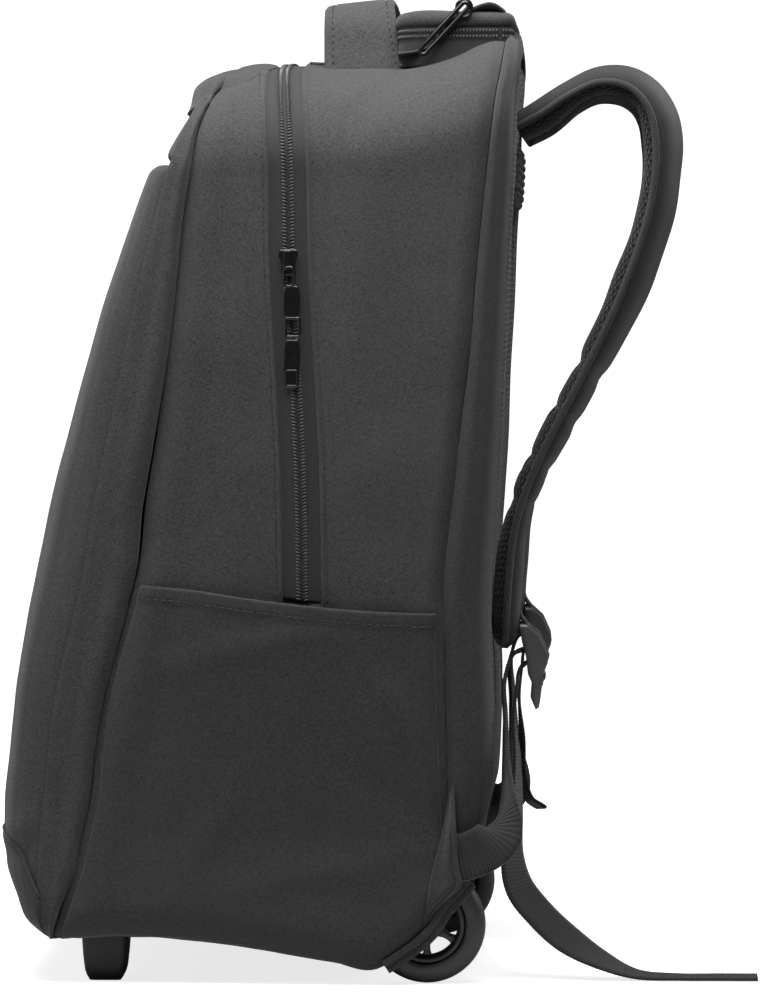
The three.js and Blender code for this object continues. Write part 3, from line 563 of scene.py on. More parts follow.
def joined_copies(name, shape, shape_faces, places, sides, ups, fronts):
    """One mesh of many copies of a small shape: each copy is the shape's points on three directions."""
    shape = np.asarray(shape, float)
    axes = np.stack([np.asarray(v, float) for v in (sides, ups, fronts)], 1)
    verts = np.asarray(places, float)[:, None] + np.einsum("pk,nkc->npc", shape, axes)
    starts = np.arange(len(verts)) * len(shape)
    faces = [[v + start for v in face] for start in starts for face in shape_faces]
    made = mesh_object(name, verts, faces, np.zeros((verts.shape[0] * len(shape), 2)))
    turn_out(made)
    return made


# How blunt a stitch's or a tooth's ends are: the power of the sine in its outline
BLUNTNESS = 0.6


def capsule(long, thick, sides=6, rings=4):
    """A small round-ended bar along its first axis: an ellipse's rings, closed by a point at each end."""
    turns = np.linspace(0, np.pi, rings + 2)[1:-1]
    around = np.linspace(0, 2 * np.pi, sides, endpoint=False)
    points = [(-long / 2, 0, 0)]
    for turn in turns:
        reach = thick / 2 * np.sin(turn) ** BLUNTNESS
        points += [(-long / 2 * np.cos(turn), reach * np.cos(a), reach * np.sin(a)) for a in around]
    points.append((long / 2, 0, 0))
    last = len(points) - 1
    faces = [[0, 1 + k, 1 + (k + 1) % sides] for k in range(sides)]
    for r in range(rings - 1):
        base = 1 + r * sides
        faces += [[base + k, base + (k + 1) % sides, base + sides + (k + 1) % sides, base + sides + k]
                  for k in range(sides)]
    base = 1 + (rings - 1) * sides
    faces += [[base + k, base + (k + 1) % sides, last] for k in range(sides)]
    return points, faces


# Trial places on a path's cubic for each of its points
TRIALS = 40


def resampled(points, spacing, extra=()):
    """A path's points at an even spacing on a cubic whose steps are the roots of its chords, with other
    columns read alongside."""
    points = np.asarray(points, float)
    reach = np.insert(np.cumsum(np.sqrt(np.linalg.norm(np.diff(points, axis=0), axis=1))), 0, 0)
    fine = np.linspace(0, reach[-1], TRIALS * len(points))
    rows = {"t": reach, **{str(k): points[:, k] for k in range(points.shape[1])}}
    rows.update({name: values for name, values in extra})
    keys = [k for k in rows if k != "t"]
    dense = np.stack([read(rows, "t", k, fine) for k in keys], -1)
    length = run_lengths(dense[:, :3], 0)
    count = max(int(round(length[-1] / spacing)), 2) + 1
    where = np.linspace(0, length[-1], count)
    return {k: np.interp(where, length, dense[:, i]) for i, k in enumerate(keys)} | {"reach": where}


SIDEWAYS = np.array([1.0, 0.0, 0.0])
BACKWARDS = np.array([0.0, 1.0, 0.0])
UPWARDS = np.array([0.0, 0.0, 1.0])


def path_frame(points, turns=0.0):
    """Directions along a path: its tangent, a level side turned about it by so many degrees, and the
    cross product of the two."""
    ahead = way_along(points)
    side = unit(SIDEWAYS - ahead * ahead[:, :1])
    face = np.cross(ahead, side)
    turn = np.radians(np.broadcast_to(turns, len(points)))[:, None]
    side, face = side * np.cos(turn) + face * np.sin(turn), face * np.cos(turn) - side * np.sin(turn)
    return ahead, side, face


def path_points(path):
    """The places of a resampled path."""
    return np.stack([path["0"], path["1"], path["2"]], -1)


def repeated(direction, count):
    """One direction for each of a path's points."""
    return np.ones((count, 1)) * direction


def hoop(sides):
    """Sine and cosine of even turns round a circle, as points of a unit ring."""
    turn = np.linspace(0, 2 * np.pi, sides, endpoint=False)
    return np.stack([np.cos(turn), np.sin(turn)], -1)


# Shader node groups and materials

class Graph:
    """Makes the nodes of one tree, each with its inputs set or joined in one call."""

    def __init__(self, tree):
        self.tree = tree

    def node(self, kind, inputs=None, **settings):
        made = self.tree.nodes.new(kind)
        for key, value in settings.items():
            setattr(made, key, value)
        for key, value in (inputs or {}).items():
            if isinstance(value, bpy.types.NodeSocket):
                self.tree.links.new(value, made.inputs[key])
            else:
                made.inputs[key].default_value = value
        return made

    def math(self, operation, a, b=0.0, c=0.0):
        return self.node("ShaderNodeMath", {0: a, 1: b, 2: c}, operation=operation).outputs[0]

    def plus(self, a, b):
        return self.math("ADD", a, b)

    def times(self, a, b):
        return self.math("MULTIPLY", a, b)

    def humps(self, value, pitch):
        """The absolute sine of a value: a round hump every pitch."""
        return self.math("ABSOLUTE", self.math("SINE", self.times(value, self.math("DIVIDE", np.pi, pitch))))

    def scaled(self, vector, factor):
        return self.node("ShaderNodeVectorMath", {0: vector, 3: factor}, operation="SCALE").outputs[0]

    def blend(self, factor, a, b):
        return self.node("ShaderNodeMix", {0: factor, 6: a, 7: b}, data_type="RGBA").outputs[2]

    def spread(self, value, low, high, to_low=0.0, to_high=1.0):
        inputs = {"Value": value, "From Min": low, "From Max": high, "To Min": to_low, "To Max": to_high}
        return self.node("ShaderNodeMapRange", inputs).outputs[0]

    def split(self, vector):
        return self.node("ShaderNodeSeparateXYZ", {0: vector}).outputs

    def join(self, x=0.0, y=0.0, z=0.0):
        return self.node("ShaderNodeCombineXYZ", {0: x, 1: y, 2: z}).outputs[0]

    def noise(self, vector, scale, detail=2.0, roughness=0.5):
        inputs = {"Vector": vector, "Scale": scale, "Detail": detail, "Roughness": roughness}
        return self.node("ShaderNodeTexNoise", inputs).outputs[0]


def shader_group(name, inputs, outputs, build):
    """A node group with named float, vector or colour sockets, filled by a function of its graph."""
    tree = bpy.data.node_groups.new(name, "ShaderNodeTree")
    kinds = {"f": "NodeSocketFloat", "v": "NodeSocketVector", "c": "NodeSocketColor"}
    for title, kind, value in inputs:
        made = tree.interface.new_socket(title, in_out="INPUT", socket_type=kinds[kind])
        if value is not None:
            made.default_value = value
    for title, kind in outputs:
        tree.interface.new_socket(title, in_out="OUTPUT", socket_type=kinds[kind])
    graph = Graph(tree)
    source = tree.nodes.new("NodeGroupInput")
    results = build(graph, source.outputs)
    graph.node("NodeGroupOutput", dict(results))
    return tree


# The weave: how long a slub is, how far apart the noise of two yarns is read, how much the yarn on top
# counts in the tone, the noise levels of its two tones, and a yarn's height where its noise is nil
SLUB = 0.34
WARP_STRIDE = 3.71
WEFT_STRIDE = 3.37
WEFT_SET = 9.0
TOP_YARN = 0.6
TONE_LOW = 0.34
TONE_HIGH = 0.66
YARN_LEVEL = 0.7


def weave_nodes(g, given):
    """Plain weave of two-tone yarn: thread numbers along both ways give each yarn its tone and slubs,
    and a checker of the numbers says which yarn lies on top."""
    u, v, _ = g.split(g.scaled(given["Vector"], given["Threads"]))
    warp_number, weft_number = g.math("FLOOR", u), g.math("FLOOR", v)
    over = g.math("MODULO", g.math("ABSOLUTE", g.plus(warp_number, weft_number)), 2.0)
    warp = g.noise(g.join(g.times(warp_number, WARP_STRIDE), g.times(v, SLUB)), 1.0)
    weft = g.noise(g.join(g.times(u, SLUB), g.times(weft_number, WEFT_STRIDE), WEFT_SET), 1.0)
    across, along_yarn = (g.math("SINE", g.times(g.math("FRACT", way), np.pi)) for way in (u, v))
    top = g.plus(g.times(warp, g.math("SUBTRACT", 1.0, over)), g.times(weft, over))
    both = g.times(g.plus(warp, weft), 0.5)
    blended = g.plus(g.times(top, TOP_YARN), g.times(both, 1 - TOP_YARN))
    tall = g.times(g.times(across, along_yarn), g.plus(YARN_LEVEL, top))
    return {"Tone": g.spread(blended, TONE_LOW, TONE_HIGH), "Height": tall}


# The webbing: the size of its fuzz both ways, how round a rib is, and the heights of ribs and yarns
FUZZ_ACROSS = 2.2
FUZZ_ALONG = 1.4
RIB_ROUND = 0.6
RIB_HIGH = 0.8
YARN_HIGH = 0.25


def rib_nodes(g, given):
    """Webbing: round ribs across the run, each a half sine, with fine yarns along it; its tone follows the
    height, so the crests are painted lighter and the grooves darker as painted light and shade, under a
    random fuzz.
    """
    u, v, _ = g.split(given["Vector"])
    rib = g.humps(v, given["Pitch"])
    yarn = g.humps(u, given["Yarn"])
    fuzz = g.noise(g.join(g.times(u, FUZZ_ACROSS), g.times(v, FUZZ_ALONG)), 1.0, 3.0, 0.6)
    tall = g.plus(g.times(g.math("POWER", rib, RIB_ROUND), RIB_HIGH), g.times(yarn, YARN_HIGH))
    # the tone follows the height: painted highlight on the crests and painted shade in the grooves
    return {"Height": tall, "Tone": g.times(g.spread(tall, 0.1, 0.9), g.spread(fuzz, 0.2, 0.8, 0.6, 1.0))}


TWILL_FUZZ = 3.0


def twill_nodes(g, given):
    """Herringbone tape: slanting stripes whose slant turns back at every strip's edge; their tone follows
    their height, painted lighter on the ridges and darker between them as painted light and shade.
    """
    u, v, _ = g.split(given["Vector"])
    slant = g.plus(v, g.math("PINGPONG", u, given["Strip"]))
    wave = g.math("SINE", g.times(slant, g.math("DIVIDE", 2 * np.pi, given["Pitch"])))
    fuzz = g.noise(g.join(g.times(u, TWILL_FUZZ), g.times(v, TWILL_FUZZ)), 1.0, 2.0, 0.6)
    # the tone follows the stripes' height: painted highlight on the ridges and painted shade between them,
    # with random fuzz
    tone = g.times(g.spread(wave, -0.8, 1.0), g.spread(fuzz, 0.2, 0.8, 0.5, 1.0))
    return {"Height": g.spread(wave, -1.0, 1.0), "Tone": tone}


# A hole of the air mesh, as shares of the pitch: its flat floor, its rim, and where its painted shade fades
# out
HOLE_FLOOR = 0.18
HOLE_RIM = 0.42
HOLE_SHADE = (0.2, 0.34)


def spacer_nodes(g, given):
    """Air mesh: round holes in staggered rows; the height falls evenly into each from its rim, and a mask
    darkens each hole as painted shade.
    """
    u, v, _ = g.split(g.scaled(given["Vector"], g.math("DIVIDE", 1.0, given["Pitch"])))
    odd = g.math("MODULO", g.math("ABSOLUTE", g.math("FLOOR", v)), 2.0)
    du = g.math("SUBTRACT", g.math("FRACT", g.plus(u, g.times(odd, 0.5))), 0.5)
    dv = g.math("SUBTRACT", g.math("FRACT", v), 0.5)
    apart = g.math("SQRT", g.plus(g.times(du, du), g.times(dv, dv)))
    return {"Height": g.spread(apart, HOLE_FLOOR, HOLE_RIM), "painted_hole_shade": g.spread(apart, *HOLE_SHADE, 1.0, 0.0)}


FADE_SCALE = 9.0
DUST_SCALE = 420.0


def handling_nodes(g, given):
    """Use: broad uneven fading and small dusty specks, from two scales of noise."""
    broad = g.noise(given["Vector"], FADE_SCALE, 3.0, 0.55)
    fine = g.noise(given["Vector"], DUST_SCALE, 2.0, 0.6)
    dust = g.times(g.spread(fine, 0.66, 0.8), g.spread(broad, 0.4, 0.7))
    return {"Fade": g.spread(broad, 0.3, 0.7), "Dust": dust}


VECTOR_IN = ("Vector", "v", None)
TONE_OUT = ("Tone", "f")
HEIGHT_OUT = ("Height", "f")
WEAVE = shader_group("plain_weave", [VECTOR_IN, ("Threads", "f", 2.0)], [TONE_OUT, HEIGHT_OUT], weave_nodes)
RIBS = shader_group(
    "webbing_ribs", [VECTOR_IN, ("Pitch", "f", 2.0), ("Yarn", "f", 0.8)], [TONE_OUT, HEIGHT_OUT], rib_nodes,
)
TWILL = shader_group(
    "herringbone", [VECTOR_IN, ("Strip", "f", 2.6), ("Pitch", "f", 1.1)], [TONE_OUT, HEIGHT_OUT], twill_nodes,
)
SPACER = shader_group(
    "air_mesh_holes", [VECTOR_IN, ("Pitch", "f", 3.0)], [HEIGHT_OUT, ("painted_hole_shade", "f")], spacer_nodes,
)
HANDLING = shader_group("handling", [VECTOR_IN], [("Fade", "f"), ("Dust", "f")], handling_nodes)


def grey(level):
    """A grey of a linear level."""
    return (level, level, level, 1.0)


def new_material(name, roughness, metallic=0.0, sheen=0.0, coat=0.0, specular=0.5):
    """An empty finish: its graph, its shader, and its two coordinates."""
    made = bpy.data.materials.new(name)
    made.use_nodes = True
    made.node_tree.nodes.clear()
    g = Graph(made.node_tree)
    shader = g.node("ShaderNodeBsdfPrincipled", {
        "Roughness": roughness, "Metallic": metallic, "Sheen Weight": sheen, "Sheen Roughness": 0.45,
        "Coat Weight": coat, "Specular IOR Level": specular,
    })
    g.node("ShaderNodeOutputMaterial", {"Surface": shader.outputs[0]})
    places = g.node("ShaderNodeTexCoord").outputs
    return made, g, shader, places["UV"], places["Object"]


def finish(g, shader, colour, height, strength, distance, roughness=None):
    """Joins a colour, a bump and maybe a roughness to the shader."""
    bump = g.node("ShaderNodeBump", {"Height": height, "Strength": strength, "Distance": distance * MM})
    g.tree.links.new(colour, shader.inputs["Base Color"])
    g.tree.links.new(bump.outputs[0], shader.inputs["Normal"])
    if roughness is not None:
        g.tree.links.new(roughness, shader.inputs["Roughness"])


def grouped(g, tree, vector, **values):
    """A node group in a material, read at a vector, with its own values. Gives its outputs."""
    node = g.tree.nodes.new("ShaderNodeGroup")
    node.node_tree = tree
    g.tree.links.new(vector, node.inputs["Vector"])
    for key, value in values.items():
        node.inputs[key].default_value = value
    return node.outputs


CLOTH_THREADS = 1.9


def melange_cloth(name, dark, light):
    """Two-tone polyester: yarn tones, weave relief, and slow fading over the whole piece."""
    made, g, shader, uv, place = new_material(name, roughness=0.86, sheen=0.1, specular=0.3)
    weave = grouped(g, WEAVE, uv, Threads=CLOTH_THREADS)
    use = grouped(g, HANDLING, place)
    yarn = g.blend(weave["Tone"], grey(dark), grey(light))
    faded = g.blend(g.times(use["Fade"], 0.16), yarn, grey(light * 1.25))
    finish(g, shader, faded, weave["Height"], strength=0.35, distance=0.2)
    return made


def ribbed_webbing(name, dark, light, pitch=RIB_PITCH):
    """Woven webbing: ribs across, painted lighter on their crests and darker in their grooves as painted
    light and shade, a little fuzzy.
    """
    made, g, shader, uv, place = new_material(name, roughness=0.8, sheen=0.15, specular=0.35)
    ribs = grouped(g, RIBS, uv, Pitch=pitch, Yarn=0.8)
    use = grouped(g, HANDLING, place)
    yarn = g.blend(ribs["Tone"], grey(dark), grey(light))
    dusty = g.blend(g.times(use["Dust"], 0.3), yarn, grey(light * 2))
    finish(g, shader, dusty, ribs["Height"], strength=0.7, distance=0.4)
    return made


def herringbone_tape(name, dark, light):
    """Zip tape: herringbone stripes beside the coil, painted lighter on their ridges as painted highlight and
    darker between them as painted shade.
    """
    made, g, shader, uv, _ = new_material(name, roughness=0.75, sheen=0.1, specular=0.35)
    twill = grouped(g, TWILL, uv, Strip=2.6, Pitch=1.3)
    yarn = g.blend(twill["Tone"], grey(dark), grey(light))
    finish(g, shader, yarn, twill["Height"], strength=0.6, distance=0.3)
    return made


def spacer_mesh(name, dark, light):
    """Air mesh: holes painted dark as painted shade in a paler knit, with a fine weave on the bridges."""
    made, g, shader, uv, _ = new_material(name, roughness=0.9, sheen=0.12, specular=0.2)
    holes = grouped(g, SPACER, uv, Pitch=3.0)
    knit = grouped(g, WEAVE, uv, Threads=2.4)
    bridge = g.blend(knit["Tone"], grey(dark * 1.6), grey(light))
    # the holes are darkened as painted shade in their recesses
    shade = g.blend(holes["painted_hole_shade"], bridge, grey(dark * 0.4))
    finish(g, shader, shade, holes["Height"], strength=0.8, distance=0.8)
    return made


GLOSS_WANDER = 0.08


def moulded(name, level, roughness, grain=900.0):
    """Moulded plastic or rubber: fine grain, broad fading, and gloss that wanders with wear."""
    made, g, shader, _, place = new_material(name, roughness)
    use = grouped(g, HANDLING, place)
    pits = g.noise(place, grain, 2.0, 0.6)
    shade = g.blend(g.times(use["Fade"], 0.35), grey(level), grey(level * 1.5))
    dusty = g.blend(g.times(use["Dust"], 0.25), shade, grey(level * 3))
    gloss = g.spread(use["Fade"], 0.0, 1.0, roughness - GLOSS_WANDER, roughness + GLOSS_WANDER)
    finish(g, shader, dusty, pits, strength=0.12, distance=0.12, roughness=gloss)
    return made


SCUFF_SCALE = 260.0


def coated_metal(name, level, roughness):
    """Black coated metal: dark, glossy, scuffed paler in specks."""
    made, g, shader, _, place = new_material(name, roughness, metallic=0.55, coat=0.4, specular=0.6)
    use = grouped(g, HANDLING, place)
    scuffs = g.noise(place, SCUFF_SCALE, 4.0, 0.7)
    shade = g.blend(g.spread(scuffs, 0.62, 0.8, 0.0, 0.35), grey(level), grey(level * 5))
    gloss = g.spread(scuffs, 0.3, 0.7, roughness * 0.8, roughness * 1.5)
    finish(g, shader, shade, use["Dust"], strength=0.05, distance=0.05, roughness=gloss)
    return made


TWIST_SCALE = 1800.0


def thread(name, level):
    """Sewing thread: its twist shows as a fine uneven relief."""
    made, g, shader, _, place = new_material(name, roughness=0.6, sheen=0.1, specular=0.4)
    twist = g.noise(place, TWIST_SCALE, 2.0, 0.6)
    finish(g, shader, g.blend(twist, grey(level), grey(level * 1.6)), twist, strength=0.3, distance=0.1)
    return made


# The finishes, with their linear levels: a woven one has a dark and a light yarn
CLOTH = melange_cloth("charcoal_melange", 0.0085, 0.043)
DARK_CLOTH = melange_cloth("dark_melange", 0.007, 0.033)
STRAP_CLOTH = melange_cloth("strap_melange", 0.004, 0.016)
WEBBING = ribbed_webbing("woven_webbing", 0.003, 0.017)
TAPE = herringbone_tape("zip_tape_twill", 0.005, 0.025)
COIL = moulded("coil_nylon", 0.03, 0.35)
AIR_MESH = spacer_mesh("air_mesh", 0.003, 0.014)
BINDING = ribbed_webbing("edge_binding", 0.008, 0.02, 1.2)
THREAD = thread("sewing_thread", 0.008)
PULL = coated_metal("black_coated_metal", 0.006, 0.2)
LOCK = moulded("lock_plastic", 0.035, 0.4)
BASE = moulded("base_plastic", 0.0035, 0.55)
TYRE = moulded("tyre_rubber", 0.022, 0.5, 1400.0)
HUB = moulded("hub_plastic", 0.008, 0.35)
STEEL = coated_metal("axle_steel", 0.15, 0.3)


def dressed(made, body, material, slot, *nodes):
    """Gives a piece its finish and its body, and hides the nodes that it stands for; its slot is not used."""
    made.data.materials.clear()
    made.data.materials.append(material)
    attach(made, body)
    if nodes:
        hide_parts(*nodes)
    return made


# The main compartment, its zip and its stitches

# Soft folds and dents of the side cloth: where, how they lean from upright, and how long, wide and high
SIDE_FOLDS = table(
    "along up lean long wide high",
    (0.46, 0.62, 4, 90, 11, 1.3),
    (0.42, 0.5, 8, 60, 9, -1.4),
    (0.5, 0.86, -12, 45, 9, -1.2),
    (0.7, 0.8, 6, 80, 16, 1.5),
    (0.8, 0.6, -5, 110, 14, -1.6),
    (0.86, 0.45, 3, 60, 8, 1.2),
    (0.72, 0.95, 35, 30, 8, -1.3),
    (0.62, 0.97, -25, 22, 7, 1.0),
    (0.36, 0.9, 20, 30, 7, 1.2),
    (0.38, 0.7, -6, 45, 8, 1.1),
)
POCKET_FOLDS = table(
    "along up lean long wide high",
    (0.5, 0.34, 75, 60, 8, 1.2),
    (0.78, 0.26, -40, 34, 8, 1.8),
    (0.8, 0.15, -55, 30, 8, -1.6),
    (0.4, 0.12, 35, 40, 10, 1.4),
    (0.3, 0.24, 12, 40, 8, -1.4),
    (0.62, 0.08, 80, 50, 9, 1.4),
    (0.7, 0.2, -20, 45, 10, -1.2),
)


LEFT_SHIFT = 13.0
HILL_WIDE = 34
HILL_NARROW = 13


def side_relief(points, rows, seed, size=0.7):
    """Relief of a cloth side: its table of folds on both sides of the bag, and hills of two sizes. The
    left side reads them a little further on, so that the two sides differ."""
    x, y, z = points[..., 0], points[..., 1], points[..., 2]
    shift = np.where(x >= 0, 0.0, LEFT_SHIFT)
    hills = lattice_noise(y + shift, z, HILL_WIDE, seed) * size
    hills = hills + lattice_noise(y, z + shift, HILL_NARROW, seed + 1) * size * 0.3
    on_side = step(np.abs(x), BAG_WIDTH * 0.3, BAG_WIDTH * 0.46)
    return (folds(rows, y + shift, z) + hills) * (0.35 + 0.65 * on_side)


# The cloth's folded edge beside the tape: distance out from the tape, and height of the fold
EDGE_FOLD = table(
    "out high",
    (-2, -2.2),
    (-0.4, -1.6),
    (0, -0.3),
    (0.4, 0.75),
    (0.9, 1.1),
    (1.5, 1.05),
    (2.1, 0.7),
    (2.7, 0.15),
    (3.3, 0.55),
    (4.2, 0.5),
    (5.6, 0.2),
    (9, 0),
)
EDGE_COLUMNS = np.array([0, 0.4, 0.9, 1.5, 2.1, 2.7, 3.3, 4.2, 5.6])
SLOT_COLUMNS = np.array([0.5, 2.0])
SEAM_COLUMNS = np.array([0, 0.5, 1.1, 1.8, 2.6])


# Where along the body the zip is looked for first, and how many rounds settle it
ZIP_SHARE = 0.6
SETTLE_ROUNDS = 6


def zip_share(p, offset):
    """The share of the main body at which a line beside the zip's middle crosses each run of the section:
    found by putting a share's height into the line a few times over. The offset is read at each height."""
    at = np.full(np.shape(p), ZIP_SHARE)
    for _ in range(SETTLE_ROUNDS):
        z = main_points(at, p)[..., 2]
        at = share_between(zip_middle(z) + offset(z), z)
    return at


def section_runs(bottom, corner, side, shoulder, top):
    """Places up a half section, denser where it turns, mirrored to a whole loop: so many on each leg."""
    legs = zip(LEGS[:-1], LEGS[1:], (bottom, corner, side, shoulder, top))
    half = np.concatenate([np.linspace(a, b, count, endpoint=False) for a, b, count in legs])
    return np.concatenate([half + HAIR, [1 - HAIR], -(half[::-1] + HAIR)])


def even(start, end, count):
    """Columns evenly between two, each end left out; start and end are arrays."""
    shares = (np.arange(count) + 1) / (count + 1)
    return start[:, None] + (end - start)[:, None] * shares


MIDWAY = 0.5
COLUMNS_AHEAD = 20
COLUMNS_BEHIND = 36
ZIP_END_BLEND = 2.0


def main_cloth():
    """The side and top cloth: columns follow both edges of the tape, where the cloth stands up in a
    folded hem, and the cloth dips to its front and rear seams."""
    p = section_runs(bottom=14, corner=8, side=96, shoulder=22, top=16)
    probe = main_points(MIDWAY, p)
    depth = line("rear", probe[:, 2]) - line("seam", probe[:, 2])
    first = zip_share(p, lambda z: -zip_half(z)) * depth
    last = zip_share(p, zip_half) * depth
    out_ahead = first[:, None] - EDGE_COLUMNS[::-1]
    out_behind = last[:, None] + EDGE_COLUMNS
    seam_in = np.broadcast_to(SEAM_COLUMNS, (len(p), len(SEAM_COLUMNS)))
    rear_in = depth[:, None] - SEAM_COLUMNS[::-1]
    places = np.hstack([
        seam_in,
        even(seam_in[:, -1], out_ahead[:, 0], COLUMNS_AHEAD),
        out_ahead,
        first[:, None] + SLOT_COLUMNS,
        last[:, None] - SLOT_COLUMNS[::-1],
        out_behind,
        even(out_behind[:, -1], rear_in[:, 0], COLUMNS_BEHIND),
        rear_in,
    ])
    points = main_points(places / depth[:, None], p[:, None])
    out = np.minimum(np.abs(places - first[:, None]), np.abs(places - last[:, None]))
    inside = (places > first[:, None]) & (places < last[:, None])
    out = np.where(inside, -out, out)
    open_zip = step(points[..., 2], height(ZIP_LOW) - ZIP_END_BLEND, height(ZIP_LOW) + ZIP_END_BLEND)
    high = read(EDGE_FOLD, "out", "high", out) * open_zip
    high = high + side_relief(points, SIDE_FOLDS, seed=3) * step(out, 2, 14)
    high = high + seam_dip(places, wide=2.6, deep=0.35)
    high = high + seam_dip(depth[:, None] - places, wide=2.0, deep=0.2)
    made = cloth_sheet("main_cloth", raised(points, high), side_map(points))
    return dressed(made, "bag", CLOTH, "cloth", "main_shell")


ZIP_POINTS = 520


def zip_path(offset):
    """Points along the zip at a distance across the tape, with the way along, the way across and the
    normal of the bag. Heights run up one side, over the top and down the other."""
    half = np.linspace(zip_run_low(), 1 - HAIR, ZIP_POINTS // 2)
    p = np.concatenate([half, -half[::-1]])
    points = main_points(zip_share(p, lambda z: offset), p)
    ahead = way_along(points)
    across = unit(BACKWARDS - ahead * ahead[:, 1:2])
    normal = np.cross(ahead, across)
    normal *= np.sign(np.sum(normal * (points - np.asarray(BAG_CENTRE)), axis=1, keepdims=True))
    return points, ahead, across, normal


def zip_run_low():
    """Where up the section's run the zip ends below."""
    runs = np.linspace(LEGS[2], LEGS[3], 400)
    z = main_points(ZIP_SHARE, runs)[:, 2]
    return float(np.interp(height(ZIP_LOW), z, runs))


# The tape in section: distance across, and height
TAPE_SECTION = table(
    "across high",
    (-11.2, -0.9),
    (-10.2, -0.5),
    (-5, -0.35),
    (-3.6, -0.2),
    (-2.9, 0.35),
    (-1.2, 0.75),
    (-0.3, 0.15),
    (0.3, 0.15),
    (1.2, 0.75),
    (2.9, 0.35),
    (3.6, -0.2),
    (5, -0.35),
    (10.2, -0.5),
    (11.2, -0.9),
)
TAPE_WALL = 0.9


def zip_band():
    """The tape: its section's heights on the bag's normal, at each distance across the zip."""
    sheets = []
    for out, high in zip(TAPE_SECTION["across"], TAPE_SECTION["high"]):
        points, _, _, normal = zip_path(out)
        sheets.append(points + normal * high)
    points = np.stack(sheets, 1)
    run = run_lengths(points, 0)
    uv = np.stack([np.broadcast_to(TAPE_SECTION["across"], run.shape), run], -1)
    made = cloth_sheet("zip_band", points, uv, wall=TAPE_WALL)
    return dressed(made, "bag", TAPE, "zip_tape", "zip_tape")


def spaced(points, pitch, *others):
    """Points every pitch along a path, with other arrays read at the same places."""
    run = run_lengths(points, 0)
    where = np.arange(pitch / 2, run[-1], pitch)
    return [np.stack([np.interp(where, run, v[:, k]) for k in range(3)], -1) for v in (points,) + others]


TOOTH_THICK = 1.0
TOOTH_SLANT = 0.35
TOOTH_LIFT = 0.95


def zip_coil():
    """The coil's teeth: short slanted bars in two columns, each a pitch from the next."""
    shape, faces = capsule(TOOTH_LONG, TOOTH_THICK, rings=3)
    places, sides, ups, fronts = [], [], [], []
    for side in (-1, 1):
        points, ahead, across, normal = zip_path(side * COIL_SPREAD)
        at, way, cross, out = spaced(points, TOOTH_PITCH, ahead, across, normal)
        slant = unit(cross + side * way * TOOTH_SLANT)
        places.append(at + out * TOOTH_LIFT)
        sides.append(slant)
        ups.append(np.cross(out, slant))
        fronts.append(out)
    made = joined_copies("zip_coil", shape, faces, *(np.concatenate(v) for v in (places, sides, ups, fronts)))
    return dressed(made, "bag", COIL, "zip_tape")


def stitch_rows(name, lines):
    """Stitches along several lines, each given as its points, its normals and the height above them."""
    shape, faces = capsule(STITCH_LONG, STITCH_THICK)
    places, ways, ups, outs = [], [], [], []
    for points, normal, lift in lines:
        at, out = spaced(points, STITCH_PITCH, normal)
        way = way_along(at)
        places.append(at + out * lift)
        ways.append(way)
        ups.append(np.cross(out, way))
        outs.append(out)
    made = joined_copies(name, shape, faces, *(np.concatenate(v) for v in (places, ways, ups, outs)))
    return dressed(made, "bag", THREAD, "cloth")


ZIP_STITCH_LIFT = 0.3


def zip_stitches():
    """A row of stitches down the folded edge on each side of the tape."""
    lines = []
    for side in (-1, 1):
        points, _, _, normal = zip_path(side * (ZIP_WIDTH / 2 + STITCH_OUT))
        lines.append((points, normal, ZIP_STITCH_LIFT))
    return stitch_rows("zip_stitches", lines)


# The front unit

GUSSET_FOLDS = table(
    "along up lean long wide high",
    (0.3, 0.62, 14, 60, 7, 1.5),
    (0.27, 0.5, 10, 50, 6, -1.5),
    (0.22, 0.35, 8, 50, 7, 1.4),
    (0.15, 0.2, 5, 40, 7, -1.3),
    (0.13, 0.09, -20, 22, 6, 1.6),
    (0.33, 0.82, 20, 30, 7, 1.2),
)
FRONT_FOLDS = table(
    "along up lean long wide high",
    (0.06, 0.3, 6, 60, 9, 1.4),
    (0.12, 0.45, 10, 60, 8, -1.2),
    (0.08, 0.14, 60, 26, 6, 1.6),
    (0.05, 0.1, 80, 22, 5, -1.3),
    (0.22, 0.7, 12, 50, 8, 1.1),
)


# The gusset's columns: close together at both of its seams
GUSSET_COLUMNS = np.concatenate([
    [0, 0.012, 0.03, 0.05, 0.075],
    np.linspace(0.1, 0.44, 14),
    [0.46, 0.475, 0.487, 0.495, 0.5],
])


def gusset_cloth():
    """The cloth side of the front unit, dipped at both of its seams."""
    p = section_runs(bottom=14, corner=8, side=110, shoulder=16, top=12)
    points = bag_points(FRONT_SECTIONS, "seam", "front", FRONT_ROLL, GUSSET_COLUMNS[None, :], p[:, None])
    depth = run_lengths(points, 1)
    high = seam_dip(depth, wide=3.4, deep=0.45) + seam_dip(depth[:, -1:] - depth, wide=1.3, deep=0.4)
    high = high + side_relief(points, GUSSET_FOLDS, seed=11, size=0.5)
    made = cloth_sheet("gusset_cloth", raised(points, high), side_map(points))
    return dressed(made, "bag", CLOTH, "cloth", "front_gusset")


FRONT_LOW = 0.002
FRONT_HIGH = 0.98
FRONT_BULGE = 0.95


def drawn_corners(z, foot, shoulder):
    """How far a side draws in at its round foot and its shoulder: each is the corner's size less that size
    times the root of one less the square of the share of the way into it."""
    below = np.clip((foot - z) / LOW_CORNER, 0, 1)
    above = np.clip((z - shoulder) / TOP_CORNER_DROP, 0, 1)
    return LOW_CORNER * (1 - np.sqrt(1 - below**2)) + TOP_CORNER * (1 - np.sqrt(1 - above**2))


